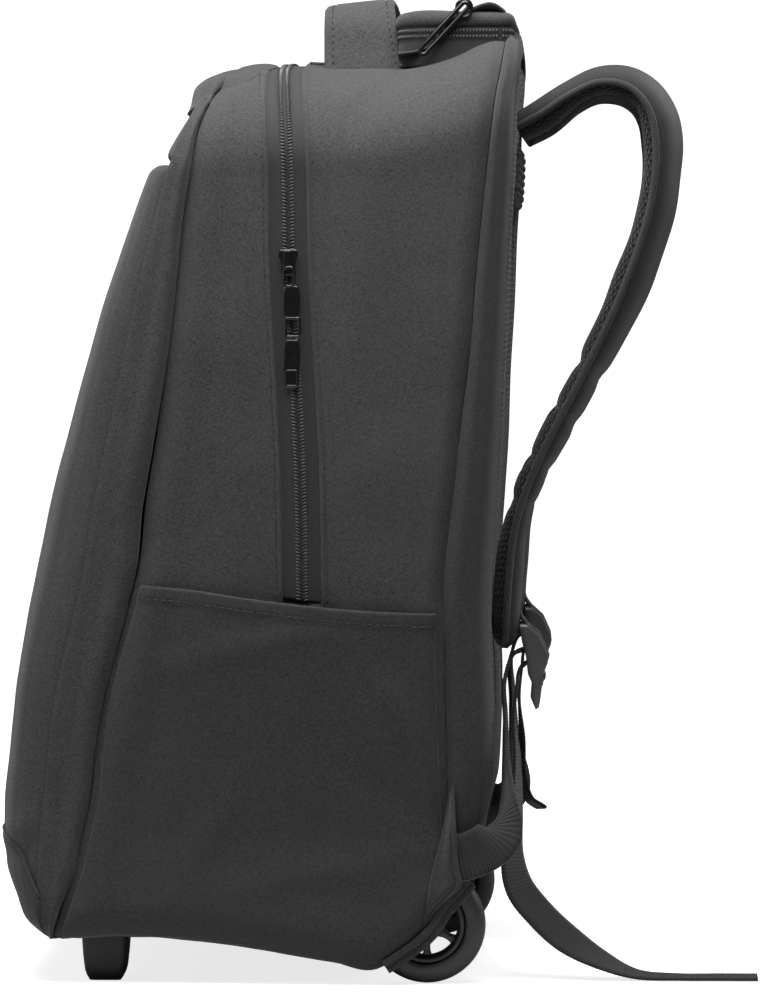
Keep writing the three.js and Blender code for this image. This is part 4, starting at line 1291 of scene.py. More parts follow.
def half_width(z):
    """Half the bag's width at a height, seen from the front: round at the foot and the shoulder."""
    drawn = drawn_corners(z, height(FRONT_LOW) + LOW_CORNER, height(FRONT_HIGH) - TOP_CROWN - TOP_CORNER_DROP)
    return BAG_WIDTH / 2 + SIDE_SWELL * side_bulge(z) * FRONT_BULGE - drawn


# How much of the way to a seam the front's near-flat face takes, and how far its middle stands forward
FLAT_SHARE = 0.72
FACE_CROWN = 2.0


def front_points(w, z, inward=0.0, set_back=0.0):
    """The front in plan: w from -1 to 1 goes from seam to seam, the roll in its outer parts and the
    near-flat face between. inward draws the whole outline in."""
    w, z, inward = np.broadcast_arrays(w, z, inward)
    side = np.abs(w)
    at = 1 - 0.5 * np.clip((side - FLAT_SHARE) / (1 - FLAT_SHARE), 0, 1)
    wide = half_width(z)
    roll = wide - FRONT_ROLL * read(FRONT_SECTIONS, "at", "inset", at)
    flat = (wide - FRONT_ROLL) * np.minimum(side / FLAT_SHARE, 1)
    x = np.where(side < FLAT_SHARE, flat, roll)
    y = mix(line("seam", z), line("front", z), at) + set_back
    y = y + inward * np.clip((at - 0.5) * 2, 0.25, 1) + FACE_CROWN * (flat / (BAG_WIDTH / 2)) ** 2
    x = (x - inward * step(side, 0.5, 0.95)) * np.sign(w)
    return np.stack([x, y, z], -1)


def layer_rows(low, high, foot_roll, top_roll, ledge, count):
    """Heights and insets down a front layer: a ledge, a rolled top edge, the face, a rolled foot."""
    turn = np.linspace(0, np.pi / 2, 6)
    top = [(high, inset) for inset in np.linspace(ledge, top_roll, 6, endpoint=False)]
    top += [(high - top_roll * (1 - np.cos(a)), top_roll * (1 - np.sin(a))) for a in turn]
    face = [(z, 0.0) for z in np.linspace(high - top_roll, low + foot_roll, count)[1:-1]]
    foot = [(low + foot_roll * (1 - np.sin(a)), foot_roll * (1 - np.cos(a))) for a in turn]
    foot += [(low + 0.01, inset) for inset in np.linspace(foot_roll, foot_roll + 6, 3)[1:]]
    return np.array(top + face + foot)


def layer_columns():
    """Columns from seam to seam, close together round the rolls and at the seams."""
    face = np.linspace(0, FLAT_SHARE, 26, endpoint=False)
    roll = np.linspace(FLAT_SHARE, 0.97, 22)
    half = np.concatenate([face, roll, [0.98, 0.988, 0.994, 1.0]])
    return np.concatenate([-half[::-1], half[1:]])


def front_layer(name, rows, set_back, seed, node):
    """One layer of the front: its rows across the face, with folds and hills, dipped at its seams."""
    points = front_points(layer_columns()[None, :], rows[:, :1], rows[:, 1:], set_back)
    edge = from_edges(run_lengths(points, 1), 1)
    high = seam_dip(edge, wide=2.2, deep=0.8)
    high = high + side_relief(points, FRONT_FOLDS, seed, size=0.5) * step(edge, 1, 8)
    face = step(np.abs(points[..., 0]), 110, 60)
    high = high + face * lattice_noise(points[..., 0] + 500, points[..., 2], 60, seed + 5) * 1.3
    made = cloth_sheet(name, raised(points, high), face_map(points))
    return dressed(made, "bag", CLOTH, "cloth", node)


BAND_GAP = 1.6
BAND_LAP = 1.0
BAND_SET_BACK = 4.6


def front_layers():
    """The front panel, the band above it, the cap, and the boot that wraps the panel's foot."""
    panel_high = height(PANEL_TOP)
    panel = layer_rows(height(0.0), panel_high, foot_roll=16, top_roll=4.5, ledge=16, count=110)
    front_layer("front_panel_cloth", panel, set_back=0.0, seed=21, node="front_panel")
    band_high = height(BAND_TOP) + BAND_LAP
    band = layer_rows(panel_high + BAND_GAP, band_high, foot_roll=7, top_roll=8, ledge=16, count=26)
    front_layer("front_band_cloth", band, BAND_SET_BACK, seed=31, node="front_band")
    cap_cloth()
    boot_cloth()


# The cap: where its ends lie up the section's run, where they are full, and how high it swells
CAP_END = 0.838
CAP_FULL = 0.87
CAP_TURN = 0.9
CAP_RISE = 4.6
CAP_LAP = 0.3
CAP_TUCK = 2.0
CAP_ROLL = 5.0


def cap_cloth():
    """The puffed cap over the front unit: it starts on the main cloth, swells over the seam and rolls down
    to the band. Its rise over the sections below is a sine of the way across."""
    half = np.concatenate([
        np.linspace(CAP_END, CAP_TURN, 26, endpoint=False),
        np.linspace(CAP_TURN, 1 - HAIR, 24),
    ])
    p = np.concatenate([half, -half[::-1]])
    behind = np.linspace(0.1, 0.004, 8)[:, None]
    over = np.concatenate([np.linspace(0.02, 0.9, 16), np.linspace(0.93, 1, 6)])[:, None]
    back = main_points(behind, p[None, :])
    front = bag_points(FRONT_SECTIONS, "seam", "front", FRONT_ROLL, over, p[None, :])
    points = np.concatenate([back, front])
    reach = run_lengths(points, 0)
    share = reach / reach[-1:]
    puff = CAP_LAP + CAP_RISE * np.sin(np.pi * share) ** 0.6 * (1 - 0.35 * share)
    ends = step(np.abs(p), CAP_END, CAP_FULL)[None, :]
    high = puff * ends - CAP_TUCK * (1 - ends) + side_relief(points, FRONT_FOLDS, seed=41, size=0.6)
    high = high - CAP_ROLL * step(share, 0.86, 1.0) ** 2
    made = cloth_sheet("top_cap_cloth", raised(points, high), face_map(points))
    return dressed(made, "bag", CLOTH, "cloth", "top_cap")


BOOT_LOW = 0.002
BOOT_FOOT_ROLL = 14.0
BOOT_LIFT = 1.5
BOOT_ROUNDS = 12


def boot_cloth():
    """The dark boot over the front's foot: its top edge is where each column meets the boot's line."""
    w = layer_columns()
    top = np.full(w.shape, height(0.08))
    for _ in range(BOOT_ROUNDS):
        met = read(BOOT_TOP, "along", "up", along_share(front_points(w, top)[..., 1]))
        top = 0.5 * top + 0.5 * height(met)
    low = height(BOOT_LOW)
    top = np.maximum(top, low + 2)
    share = np.concatenate([np.linspace(0, 0.9, 26), np.linspace(0.92, 1, 8)])[:, None]
    z = mix(low, top[None, :], share)
    below = np.clip((low + BOOT_FOOT_ROLL - z) / BOOT_FOOT_ROLL, 0, 1)
    points = front_points(w[None, :], z, BOOT_FOOT_ROLL * (1 - np.sqrt(1 - below**2)))
    reach = run_lengths(points, 0)
    edge = reach[-1:] - reach
    high = BOOT_LIFT + rolled(edge, 1.2) + seam_dip(edge - 3.4, wide=0.6, deep=0.5)
    high = high + side_relief(points, FRONT_FOLDS, seed=91, size=1.1)
    made = cloth_sheet("boot_cloth", raised(points, high), face_map(points))
    return dressed(made, "bag", DARK_CLOTH, "dark_cloth", "front_boot")


# The side pockets

POCKET_FULL = 7.0
POCKET_LIFT = 1.5
HEM_BAND = 9.0
HEM_STITCH = 7.0
POCKET_FOOT = 0.02
POCKET_WALL = 1.5


def hem_run(at):
    """Up the section's side, where the pocket's hem crosses each share of the depth."""
    z_hem = height(read(HEM, "along", "up", along_share(main_points(at, MIDWAY)[..., 1])))
    low = main_points(at, LEGS[2])[..., 2]
    high = main_points(at, LEGS[3])[..., 2]
    return LEGS[2] + (LEGS[3] - LEGS[2]) * (z_hem - low) / (high - low)


def pocket_fullness(at):
    """How far the pocket stands out: a rounded half sine from its front seam to its rear seam."""
    return POCKET_FULL * np.sin(np.pi * at) ** 0.8


# The pocket's columns of points: shares across the side, closer at both ends, with their counts
POCKET_COLUMNS = ((0.016, 0.07, 8), (0.085, 0.92, 64), (0.93, 0.984, 8))


def pocket_points(side, at, share, lift=0.0):
    """The pocket over the main cloth: fullest midway between its side seams, tight at its foot."""
    p = mix(LEGS[1] + POCKET_FOOT, hem_run(at), share)
    return main_points(at, side * p, POCKET_LIFT + lift, pocket_fullness(at))


def side_pocket(name, side, node):
    """One pocket: a sheet with a doubled hem, its seams rolled in at the front and the rear."""
    at = np.concatenate([np.linspace(*piece) for piece in POCKET_COLUMNS])
    share = np.concatenate([np.linspace(0, 0.93, 84), np.linspace(0.937, 1, 14)])
    points = pocket_points(side, at[None, :], share[:, None])
    reach = run_lengths(points, 0)
    below = reach[-1:] - reach
    edge = from_edges(run_lengths(points, 1), 1)
    high = rolled(edge, 2.2) * 0.9 + 0.55 * (1 - step(below, HEM_BAND - 1.2, HEM_BAND + 0.4))
    high = high + seam_dip(below - HEM_STITCH, wide=0.6, deep=0.5) + rolled(below, 0.9)
    relief = side_relief(points, POCKET_FOLDS, seed=51, size=0.6)
    high = high + relief * step(edge, 2, 12) * step(below, 4, 20)
    made = cloth_sheet(name, raised(points, high), side_map(points), wall=POCKET_WALL)
    stitch_rows(name + "_stitches", [hem_line(side, HEM_STITCH)])
    return dressed(made, "bag", DARK_CLOTH, "dark_cloth", node)


HEM_STITCH_LIFT = 0.35


def hem_line(side, drop):
    """The hem's stitch line: a drop below the pocket's mouth, with the bag's normals."""
    at = np.linspace(0.02, 0.98, 160)
    grid = pocket_points(side, at[None, :], np.linspace(0.8, 1, 41)[:, None])
    reach = run_lengths(grid, 0)
    below = reach[-1:] - reach
    index = np.argmin(np.abs(below - drop), axis=0)
    normal = outward(grid, BAG_CENTRE)
    columns = np.arange(len(at))
    return grid[index, columns], normal[index, columns], HEM_STITCH_LIFT


# The padded back

# The back side's columns: close together at the rear seam and at the mesh face
BACK_COLUMNS = np.concatenate([
    [0, 0.02, 0.05, 0.09, 0.14],
    np.linspace(0.2, 0.8, 12),
    [0.86, 0.91, 0.95, 0.98, 1.0],
])
BACK_SUNK = 0.2


def back_side_cloth():
    """The cloth side of the back, from the rear seam, where it dips, to the mesh face; it takes the darker
    melange as painted shade along the bag's rear edge.
    """
    p = section_runs(bottom=14, corner=8, side=90, shoulder=20, top=14)
    points = bag_points(
        BACK_SECTIONS, "rear", "back", SEAM_INSET, BACK_COLUMNS[None, :], p[:, None], -BACK_SUNK
    )
    high = seam_dip(run_lengths(points, 1), wide=2.2, deep=0.3)
    high = high + side_relief(points, SIDE_FOLDS, seed=61, size=0.5) * 0.6
    made = cloth_sheet("back_side_cloth", raised(points, high), side_map(points))
    # the darker melange on this side is painted shade along the rear edge, standing in for the shadow there
    return dressed(made, "bag", DARK_CLOTH, "dark_cloth", "back_panel")


BACK_LOW = 0.125
BACK_HIGH = 1.0
BACK_INSET = 14.9
BACK_BULGE = 0.4


def back_width(z):
    """Half the width of the back's mesh face at a height: straight, with round corners."""
    drawn = drawn_corners(z, height(BACK_LOW) + LOW_CORNER, height(BACK_HIGH) - TOP_CORNER_DROP)
    return BAG_WIDTH / 2 - BACK_INSET - drawn + SIDE_SWELL * BACK_BULGE


# The mesh face: how deep it stands, how wide its rounded edge is, and the channel down its middle
MESH_SUNK = 2.6
MESH_RISE = 3.4
MESH_EDGE = 14.0
CHANNEL_DEEP = 3.0
CHANNEL_WIDE = 14.0
MESH_WALL = 2.0


def back_mesh():
    """The mesh face: a padded sheet across the back, deepest in a channel down its middle. Its edge rises
    as the root of the distance from it."""
    low, high = height(BACK_LOW), height(BACK_HIGH)
    w = np.sin(np.linspace(-1, 1, 91) * np.pi / 2)
    z = (low + (high - low) * (1 - np.cos(np.linspace(0, np.pi, 131))) / 2)[:, None]
    x = w[None, :] * back_width(z)
    edge = np.minimum(back_width(z) - np.abs(x), np.minimum(z - low, high - z))
    y = line("back", z) - MESH_SUNK + MESH_RISE * np.sqrt(np.clip(edge / MESH_EDGE, 0, 1))
    y = y - CHANNEL_DEEP * np.exp(-((x / CHANNEL_WIDE) ** 2)) * step(edge, 2, 30)
    y = y + lattice_noise(x + 300, z, 40, 71) * 0.6
    points = np.stack(np.broadcast_arrays(x, y, z), -1)
    made = cloth_sheet("back_air_mesh", points, points[..., [0, 2]], wall=MESH_WALL)
    return dressed(made, "bag", AIR_MESH, "air_mesh", "back_panel")


PAD_MIDDLE = 0.868
PAD_WIDE = 200.0
PAD_TALL = 34.0
PAD_THICK = 3.4
PAD_RIBS = 8
PAD_END = 6.0
PAD_LIP = 5.0
PAD_LIFT = 0.4
RIB_SHARE = 0.28


def ribbed_pad():
    """The pad across the upper back: horizontal ribs, each an arch of a sine, drawn in at its ends."""
    w = np.sin(np.linspace(-1, 1, 81) * np.pi / 2)[None, :]
    t = np.linspace(0, 1, 97)[:, None]
    z = height(PAD_MIDDLE) + PAD_TALL * (t - 0.5)
    arch = np.abs(np.sin(np.pi * PAD_RIBS * t)) ** 0.7
    ends = np.sqrt(np.clip((1 - np.abs(w)) * PAD_WIDE / 2 / PAD_END, 0, 1))
    tall_ends = np.sqrt(np.clip(np.minimum(t, 1 - t) * PAD_TALL / PAD_LIP, 0, 1))
    thick = PAD_THICK * ((1 - RIB_SHARE) * tall_ends + RIB_SHARE * arch) * ends
    y = line("back", z) + PAD_LIFT + thick
    points = np.stack(np.broadcast_arrays(w * PAD_WIDE / 2, y, z), -1)
    made = cloth_sheet("ribbed_back_pad", points, points[..., [0, 2]])
    return dressed(made, "bag", AIR_MESH, "air_mesh", "back_pad")


# Shoulder straps, webbing and ladder locks

# The heights of the creases across a strap, and how long one is
STRAP_CREASES = (322.0, 298.0, 272.0, 251.0, 232.0)
CREASE_LONG = 4.5
STRAP_STEP = 2.2
STRAP_END = 16.0
ARCH_STEPS = 22
BINDING_RADIUS = 1.9
BINDING_INSET = 1.2


def strap_path(side):
    """One strap's middle line, with its thickness, width and turn."""
    points = np.stack([side * STRAP_SPREAD * STRAP["out"], along(STRAP["along"]), height(STRAP["up"])], -1)
    return resampled(points, STRAP_STEP, [(k, STRAP[k]) for k in ("thick", "wide", "turn")])


def half_pad(wide, thick, turn_in):
    """Half of a pad's section: an arch whose rise is the root of one less the fourth power of its share
    across, closed by a flat; turn_in is the arch's sign."""
    share = np.sin(np.linspace(-1, 1, ARCH_STEPS) * np.pi / 2)
    arch = np.sqrt(np.clip(1 - share**4, 0, 1))
    top = np.stack([share * wide[:, None] / 2, turn_in * arch * thick[:, None] / 2], -1)
    flat = np.stack([share[::-1][1:-1] * wide[:, None] / 2, np.zeros((len(wide), ARCH_STEPS - 2))], -1)
    return np.concatenate([top, flat], 1)


def shoulder_strap(name, side, node):
    """A padded strap: a cloth half outside, an air-mesh half inside, bound together along both edges. Its
    end is round: a quarter circle of the distance left."""
    path = strap_path(side)
    points = path_points(path)
    _, across, inner = path_frame(points, side * path["turn"])
    creases = sum(np.exp(-(((points[:, 2] - z) / CREASE_LONG) ** 2)) for z in STRAP_CREASES)
    pinch = creases * (points[:, 1] > along(0.99))
    run = path["reach"]
    wave = 1 - 0.2 * pinch + 0.05 * np.sin(run / 9.0) * np.sin(run / 23.0)
    end = np.sqrt(np.clip(1 - (1 - np.clip((run[-1] - run) / STRAP_END, 0, 1)) ** 2, 0.02, 1))
    wide, thick = STRAP_WIDTH * path["wide"] * end, STRAP_THICK * path["thick"] * (0.1 + 0.9 * end)
    outer = swept(name + "_cloth", points, across, inner, half_pad(wide - 1.5, thick * 0.92 * wave, -1))
    pad = swept(name + "_mesh", points, across, inner, half_pad(wide - 3, thick * wave**1.5, 1))
    dressed(outer, "bag", STRAP_CLOTH, "dark_cloth", node)
    dressed(pad, "bag", AIR_MESH, "air_mesh", node)
    for edge, word in ((-1, "left"), (1, "right")):
        centre = points + across * (edge * (wide[:, None] / 2 - BINDING_INSET))
        bound = swept(f"{name}_binding_{word}", centre, across, inner, BINDING_RADIUS * hoop(12))
        dressed(bound, "bag", BINDING, "webbing")


# Webbing in section: points across a face, how far its edge is rounded in, and the swell of a rib
WEB_POINTS = 9
WEB_EDGE = 0.6
RIB_SUNK = 0.12
RIB_SWELL = 0.26


def web_profile(path):
    """Webbing in section: flat faces with round edges; its thickness swells on every rib by a half sine."""
    run = path["reach"]
    half = WEB_THICK / 2 - RIB_SUNK + RIB_SWELL * np.abs(np.sin(np.pi * run / RIB_PITCH)) ** 0.7
    flat = (WEB_WIDTH / 2 - WEB_EDGE) * np.linspace(-1, 1, WEB_POINTS)
    top = np.stack(np.broadcast_arrays(flat[None, :], half[:, None]), -1)
    bottom = top[:, ::-1] * np.array([1, -1])
    edge = np.full((len(run), 1, 2), (WEB_WIDTH / 2, 0.0))
    return np.concatenate([top, edge, bottom, -edge], 1)


LOCK_TURN = np.radians(LOCK_LEAN)
LOCK_DOWN = np.array([np.sin(LOCK_TURN), -np.cos(LOCK_TURN)])
LOCK_OUT = np.array([np.cos(LOCK_TURN), np.sin(LOCK_TURN)])


def lock_point(u, n):
    """A point of the ladder lock's side view: u down the lock, n out of its face. Gives y and z."""
    middle = np.array([along(LOCK_PLACE[0]), height(LOCK_PLACE[1])])
    return middle + np.multiply.outer(u, LOCK_DOWN) + np.multiply.outer(n, LOCK_OUT)


WEB_GAP = 0.3
WRAP = BAR_RADIUS + WEB_GAP + WEB_THICK / 2
WRAP_STEPS = 8
TAB_BASE = 2.6
WEB_SIDE = BAG_WIDTH / 2 - SEAM_INSET / 10 + TAB_BASE + WEB_THICK * 1.5 + WEB_GAP
TOP_BAR = BAR_RADIUS - LOCK_LENGTH / 2
FOLD_BACK = 7.0
FOLD_CLEAR = 0.6
WEB_STEP = 0.5


def wrapped(bar_at, start, end):
    """Points of webbing wrapped round a bar of the lock, from one angle to another."""
    angle = np.radians(np.linspace(start, end, WRAP_STEPS + 1))
    places = lock_point(bar_at + WRAP * np.sin(angle), WRAP * np.cos(angle))
    return np.column_stack([np.full(len(places), STRAP_SPREAD), places])


def web_rows(rows):
    """The places of a webbing's rows; out goes from the strap's place to the bag's side."""
    out = mix(STRAP_SPREAD, WEB_SIDE, rows["out"])
    return np.column_stack([out, along(rows["along"]), height(rows["up"])])


def webbing(name, side, points, turns, node):
    """A length of webbing along its points, turned about its run, its ribs in the mesh."""
    path = resampled(points * np.array([side, 1, 1]), WEB_STEP, [("turn", turns)])
    centres = path_points(path)
    _, across, face = path_frame(centres, side * path["turn"])
    made = swept(name, centres, across, face, web_profile(path))
    return dressed(made, "bag", WEBBING, "webbing", node)


def strap_webbing(side, word, tail):
    """The two webbings of one strap: the short one sewn to its end, and the long one from the base."""
    back = lock_point(TOP_BAR - FOLD_BACK, -WRAP - FOLD_CLEAR)
    upper = np.vstack([web_rows(UPPER_WEB), wrapped(TOP_BAR, -20, 200), [[STRAP_SPREAD, *back]]])
    webbing("strap_web_" + word, side, upper, np.zeros(len(upper)), "strap_webbing_" + word)
    middle = wrapped(0, -90, 90)
    points = np.vstack([web_rows(LOWER_WEB), middle, web_rows(tail)])
    turns = np.concatenate([LOWER_WEB["turn"], np.zeros(len(middle)), tail["turn"]])
    webbing("base_web_" + word, side, points, turns, "lower_webbing_" + word)


def rounded_box(width, tall, round_by, count=5):
    """A rounded rectangle's outline: four quarter circles."""
    quarter = np.linspace(0, np.pi / 2, count)
    corners = [(1, 1, 0), (-1, 1, 1), (-1, -1, 2), (1, -1, 3)]
    points = []
    for sx, sy, k in corners:
        a = quarter + k * np.pi / 2
        points.append(np.stack([sx * (width / 2 - round_by) + round_by * np.cos(a),
                                sy * (tall / 2 - round_by) + round_by * np.sin(a)], -1))
    return np.concatenate(points)


# The ladder lock's side plate in its own directions: down the lock, and out of its face
LOCK_OUTLINE = np.array([
    (-17.5, -1), (-15.5, 3.2), (-8, 6.8), (2, 7.2), (7.6, 5.6), (13, 0.4), (20, -3.2),
    (27.8, -7.6), (28.4, -9.8), (21, -9.9), (14, -6.4), (9.3, -6.6), (-0.4, -3.9), (-7.4, -3.2),
])
# The plate through its thickness: the shares where its outline is set, and its size at each
RAIL_DEPTHS = np.array([0, 0.12, 0.4, 0.5, 0.88, 1.0])
RAIL_SIZES = np.array([0.9, 0.97, 1, 1, 0.97, 0.9])
LOCK_INNER = WEB_WIDTH / 2 + 0.6
BAR_LAP = 1.5
BAR_POINTS = 9
LOW_BAR_STRETCH = 1.35


def smooth_loop(corners, count):
    """A closed curve through corners: each is a blend of its neighbours by a cubic B-spline."""
    t = np.linspace(0, len(corners), count, endpoint=False)
    k, f = np.floor(t).astype(int), (t % 1)[:, None]
    shares = ((1 - f) ** 3, 3 * f**3 - 6 * f**2 + 4, 3 * f**2 + 3 * f - 3 * f**3 + 1, f**3)
    return sum(share * corners[(k + n - 1) % len(corners)] for n, share in enumerate(shares)) / 6


def lofted(name, rings, uv):
    """A closed solid through rings of equal counts, with a flat cap on each end."""
    count = rings.shape[1]
    faces = grid_faces(len(rings), count, wrap_columns=True).tolist()
    faces += [list(range(count)), list(range((len(rings) - 1) * count, len(rings) * count))]
    made = mesh_object(name, rings, faces, uv)
    turn_out(made)
    return made


def lock_rail(side, rail):
    """One side plate of the lock: its outline, a little smaller at both faces, through its thickness."""
    outline = smooth_loop(np.repeat(LOCK_OUTLINE, 2, axis=0), 84)
    middle = outline.mean(0)
    rings = []
    for depth, size in zip(RAIL_DEPTHS * LOCK_RAIL, RAIL_SIZES):
        places = lock_point(*(middle + (outline - middle) * size).T)
        x = side * STRAP_SPREAD + rail * (LOCK_INNER + depth)
        rings.append(np.column_stack([np.full(len(places), x), places]))
    rings = np.array(rings)
    return lofted(f"lock_rail_{rail}", rings, rings[..., 1:])


def lock_bar(side, at, stretch):
    """One bar across the lock: a rod, wider down the lock by its stretch."""
    x = np.linspace(-LOCK_INNER - BAR_LAP, LOCK_INNER + BAR_LAP, BAR_POINTS) + side * STRAP_SPREAD
    centres = np.column_stack([x, repeated(lock_point(at, 0), BAR_POINTS)])
    down, out = (repeated(np.array([0, *way]), BAR_POINTS) for way in (LOCK_DOWN, LOCK_OUT))
    return swept("lock_bar", centres, down, out, BAR_RADIUS * hoop(16) * np.array([stretch, 1]))


def ladder_lock(side, word):
    """Two curved rails and three bars, joined, with a lifting lip at the lower end."""
    bars = ((TOP_BAR, 1.0), (0.0, 1.0), (-TOP_BAR, LOW_BAR_STRETCH))
    parts = [lock_rail(side, rail) for rail in (-1, 1)] + [lock_bar(side, *bar) for bar in bars]
    made = joined("ladder_lock_body_" + word, parts)
    return dressed(made, "bag", LOCK, "lock_plastic", "ladder_lock_" + word)


def joined(name, parts):
    """Several closed meshes as one object."""
    work = bmesh.new()
    for part in parts:
        work.from_mesh(part.data)
        bpy.data.objects.remove(part)
    mesh = bpy.data.meshes.new(name)
    work.to_mesh(mesh)
    work.free()
    made = bpy.data.objects.new(name, mesh)
    bpy.context.scene.collection.objects.link(made)
    return made


# The handle, the lid and their zip

HANDLE_SPAN = 150.0
HANDLE_RISE = 31.0
HANDLE_SUNK = 10.0
HANDLE_WIDTH = 37.0
HANDLE_THICK = 5.0
HANDLE_ALONG = 0.679
HANDLE_FLARE = 0.2
HANDLE_SET_BACK = 4.5
HANDLE_SLOPE = 0.11
HANDLE_STEP = 1.6
HANDLE_SEAM = 4.2
HANDLE_ARCH = table(
    "across rise",
    (-0.5, 0),
    (-0.47, 0.34),
    (-0.42, 0.72),
    (-0.33, 0.93),
    (-0.16, 0.99),
    (0, 1),
    (0.16, 0.99),
    (0.33, 0.93),
    (0.42, 0.72),
    (0.47, 0.34),
    (0.5, 0),
)


def handle_path():
    """The handle's middle line, an arch whose feet lie further back, with the way across it, which widens
    to the feet, and the way out of its face."""
    low, high = height(1) - HANDLE_SUNK, height(1) + HANDLE_RISE
    rise = mix(low, high, HANDLE_ARCH["rise"])
    place = np.full(len(rise), along(HANDLE_ALONG))
    path = resampled(np.column_stack([HANDLE_ARCH["across"] * HANDLE_SPAN, place, rise]), HANDLE_STEP)
    centres = path_points(path)
    ahead = way_along(centres)
    fall = (1 - np.interp(centres[:, 2], [low, high], [0, 1]))[:, None]
    centres = centres + fall * HANDLE_SET_BACK * BACKWARDS
    slope = HANDLE_SLOPE * (1 - np.abs(ahead[:, 2:]))
    across = np.hstack([np.zeros_like(slope), np.ones_like(slope), slope])
    return centres, across * (1 + HANDLE_FLARE * fall), np.cross(ahead, across)


def blunt(values, power):
    """A power of the values, with their signs kept."""
    return np.sign(values) * np.abs(values) ** power


def grab_handle():
    """The handle: a wide cloth band folded over a pad, its edges rounded and stitched down."""
    centres, across, face = handle_path()
    crease = lattice_noise(centres[:, 0] + 300, centres[:, 2], 13, 95) * 0.9
    centres = centres + face * crease[:, None]
    cos, sin = hoop(40).T
    wide = HANDLE_WIDTH / 2 * blunt(cos, 0.35)
    tall = HANDLE_THICK / 2 * blunt(sin, 0.7)
    tall = tall + seam_dip(np.abs(wide) - HANDLE_WIDTH / 2 + HANDLE_SEAM, wide=0.8, deep=0.7) * np.sign(tall)
    made = swept("handle_cloth", centres, across, face, np.stack([wide, tall], -1))
    out = face * np.sign(np.sum(face * (centres - np.array([0, 0, height(0.9)])), axis=1, keepdims=True))
    lines = []
    for edge in (-1, 1):
        seam = centres + across * edge * (HANDLE_WIDTH / 2 - HANDLE_SEAM)
        lines.append((seam, out, HANDLE_THICK / 2 - 0.5))
    stitch_rows("handle_stitches", lines)
    return dressed(made, "bag", CLOTH, "cloth", "grab_handle")


LID_WIDTH = 196.0
LID_DEPTH = 64.0
LID_THICK = 9.0
LID_TOP = 513.0
LID_CORNER = 26.0
LID_REAR_CORNER = 7.0
LID_LEAST_CORNER = 0.8
LID_BACK = 0.985
LID_POINTS = 224
LID_CROWN = 1.2
LID_CROWN_RUN = 24.0
LID_TUCK = 14.0
LID_WALL_TALL = 20.0
LID_WALL_INSET = 1.6
LID_MIDDLE = (0, along(0.87), height(1.03))
LID_COIL_DROP = 3.4
LID_COIL_SPREAD = 1.5


def lid_ring(inset):
    """The lid's plan at an inset: square behind with small round corners, well rounded in front."""
    half, back = LID_WIDTH / 2 - inset, along(LID_BACK) - inset
    front = along(LID_BACK) - LID_DEPTH + inset
    plan = (
        (1, -1, back, LID_REAR_CORNER, 0),
        (-1, -1, back, LID_REAR_CORNER, 90),
        (-1, 1, front, LID_CORNER, 180),
        (1, 1, front, LID_CORNER, 270),
    )
    corners = []
    for across, inward, y, radius, start in plan:
        radius = max(radius - inset, LID_LEAST_CORNER)
        angle = np.radians(np.linspace(start, start + 90, 10))
        middle = np.array([across * (half - radius), y + inward * radius])
        corners.append(middle + radius * np.stack([np.cos(angle), np.sin(angle)], -1))
    closed = np.concatenate(corners + [corners[0][:1]])
    run = run_lengths(closed, 0)
    where = np.linspace(0, run[-1], LID_POINTS, endpoint=False)
    return np.stack([np.interp(where, run, closed[:, k]) for k in range(2)], -1)


def lid_level(inset, z):
    """The lid's plan at an inset, at a height."""
    return np.column_stack([lid_ring(inset), np.full(LID_POINTS, z)])


def lid_cloth():
    """The padded lid: its plan drawn in over a rounded edge, its top crowned by the root of the distance
    in, and softly dented."""
    half = LID_THICK / 2
    turn = np.linspace(-np.pi / 2, np.pi / 2, 15)
    rings = [lid_level(half + LID_TUCK, LID_TOP - LID_THICK)]
    rings += [lid_level(half * (1 - np.cos(a)), LID_TOP - half + half * np.sin(a)) for a in turn]
    for inward in np.linspace(2, LID_CROWN_RUN, 9):
        rings.append(lid_level(half + inward, LID_TOP + LID_CROWN * np.sqrt(inward / LID_CROWN_RUN)))
    points = np.array(rings)
    dents = lattice_noise(points[..., 0] + 200, points[..., 1], 22, 81) * 0.7
    points[..., 2] += dents * step(points[..., 2], LID_TOP - 5, LID_TOP)
    made = lofted("lid_cloth", points, points[..., :2] + points[..., 2:] * np.array([0.0, 1.0]))
    return dressed(made, "bag", CLOTH, "cloth", "trolley_lid")


def lid_wall():
    """The zip wall under the lid, all round it, with its coil near the top."""
    ring = lid_ring(LID_WALL_INSET)
    low, high = LID_TOP - LID_THICK - LID_WALL_TALL, LID_TOP - LID_THICK + 0.6
    points = np.stack([lid_level(LID_WALL_INSET, z) for z in np.linspace(low, high, 14)])
    points = np.concatenate([points, points[:, :1]], 1)
    uv = np.stack([points[..., 2], run_lengths(points, 1)], -1)
    made = cloth_sheet("lid_zip_tape", points, uv, centre=LID_MIDDLE, wall=1.2)
    dressed(made, "bag", TAPE, "zip_tape", "lid_zip")
    at = spaced(np.column_stack([ring, np.full(len(ring), high - LID_COIL_DROP)]), TOOTH_PITCH)[0]
    way = way_along(at)
    up = repeated(UPWARDS, len(at))
    out = np.cross(way, up)
    out *= np.sign(np.sum(out * (at - np.array([0, LID_MIDDLE[1], 0])), axis=1, keepdims=True))
    rows = [at + up * lift + out * 0.5 for lift in (-LID_COIL_SPREAD, LID_COIL_SPREAD)]
    sides, ups, fronts = (np.vstack([v, v]) for v in (up, way, out))
    shape, faces = capsule(TOOTH_LONG * 0.8, 1.1, rings=3)
    teeth = joined_copies("lid_zip_coil", shape, faces, np.concatenate(rows), sides, ups, fronts)
    return dressed(teeth, "bag", COIL, "zip_tape")


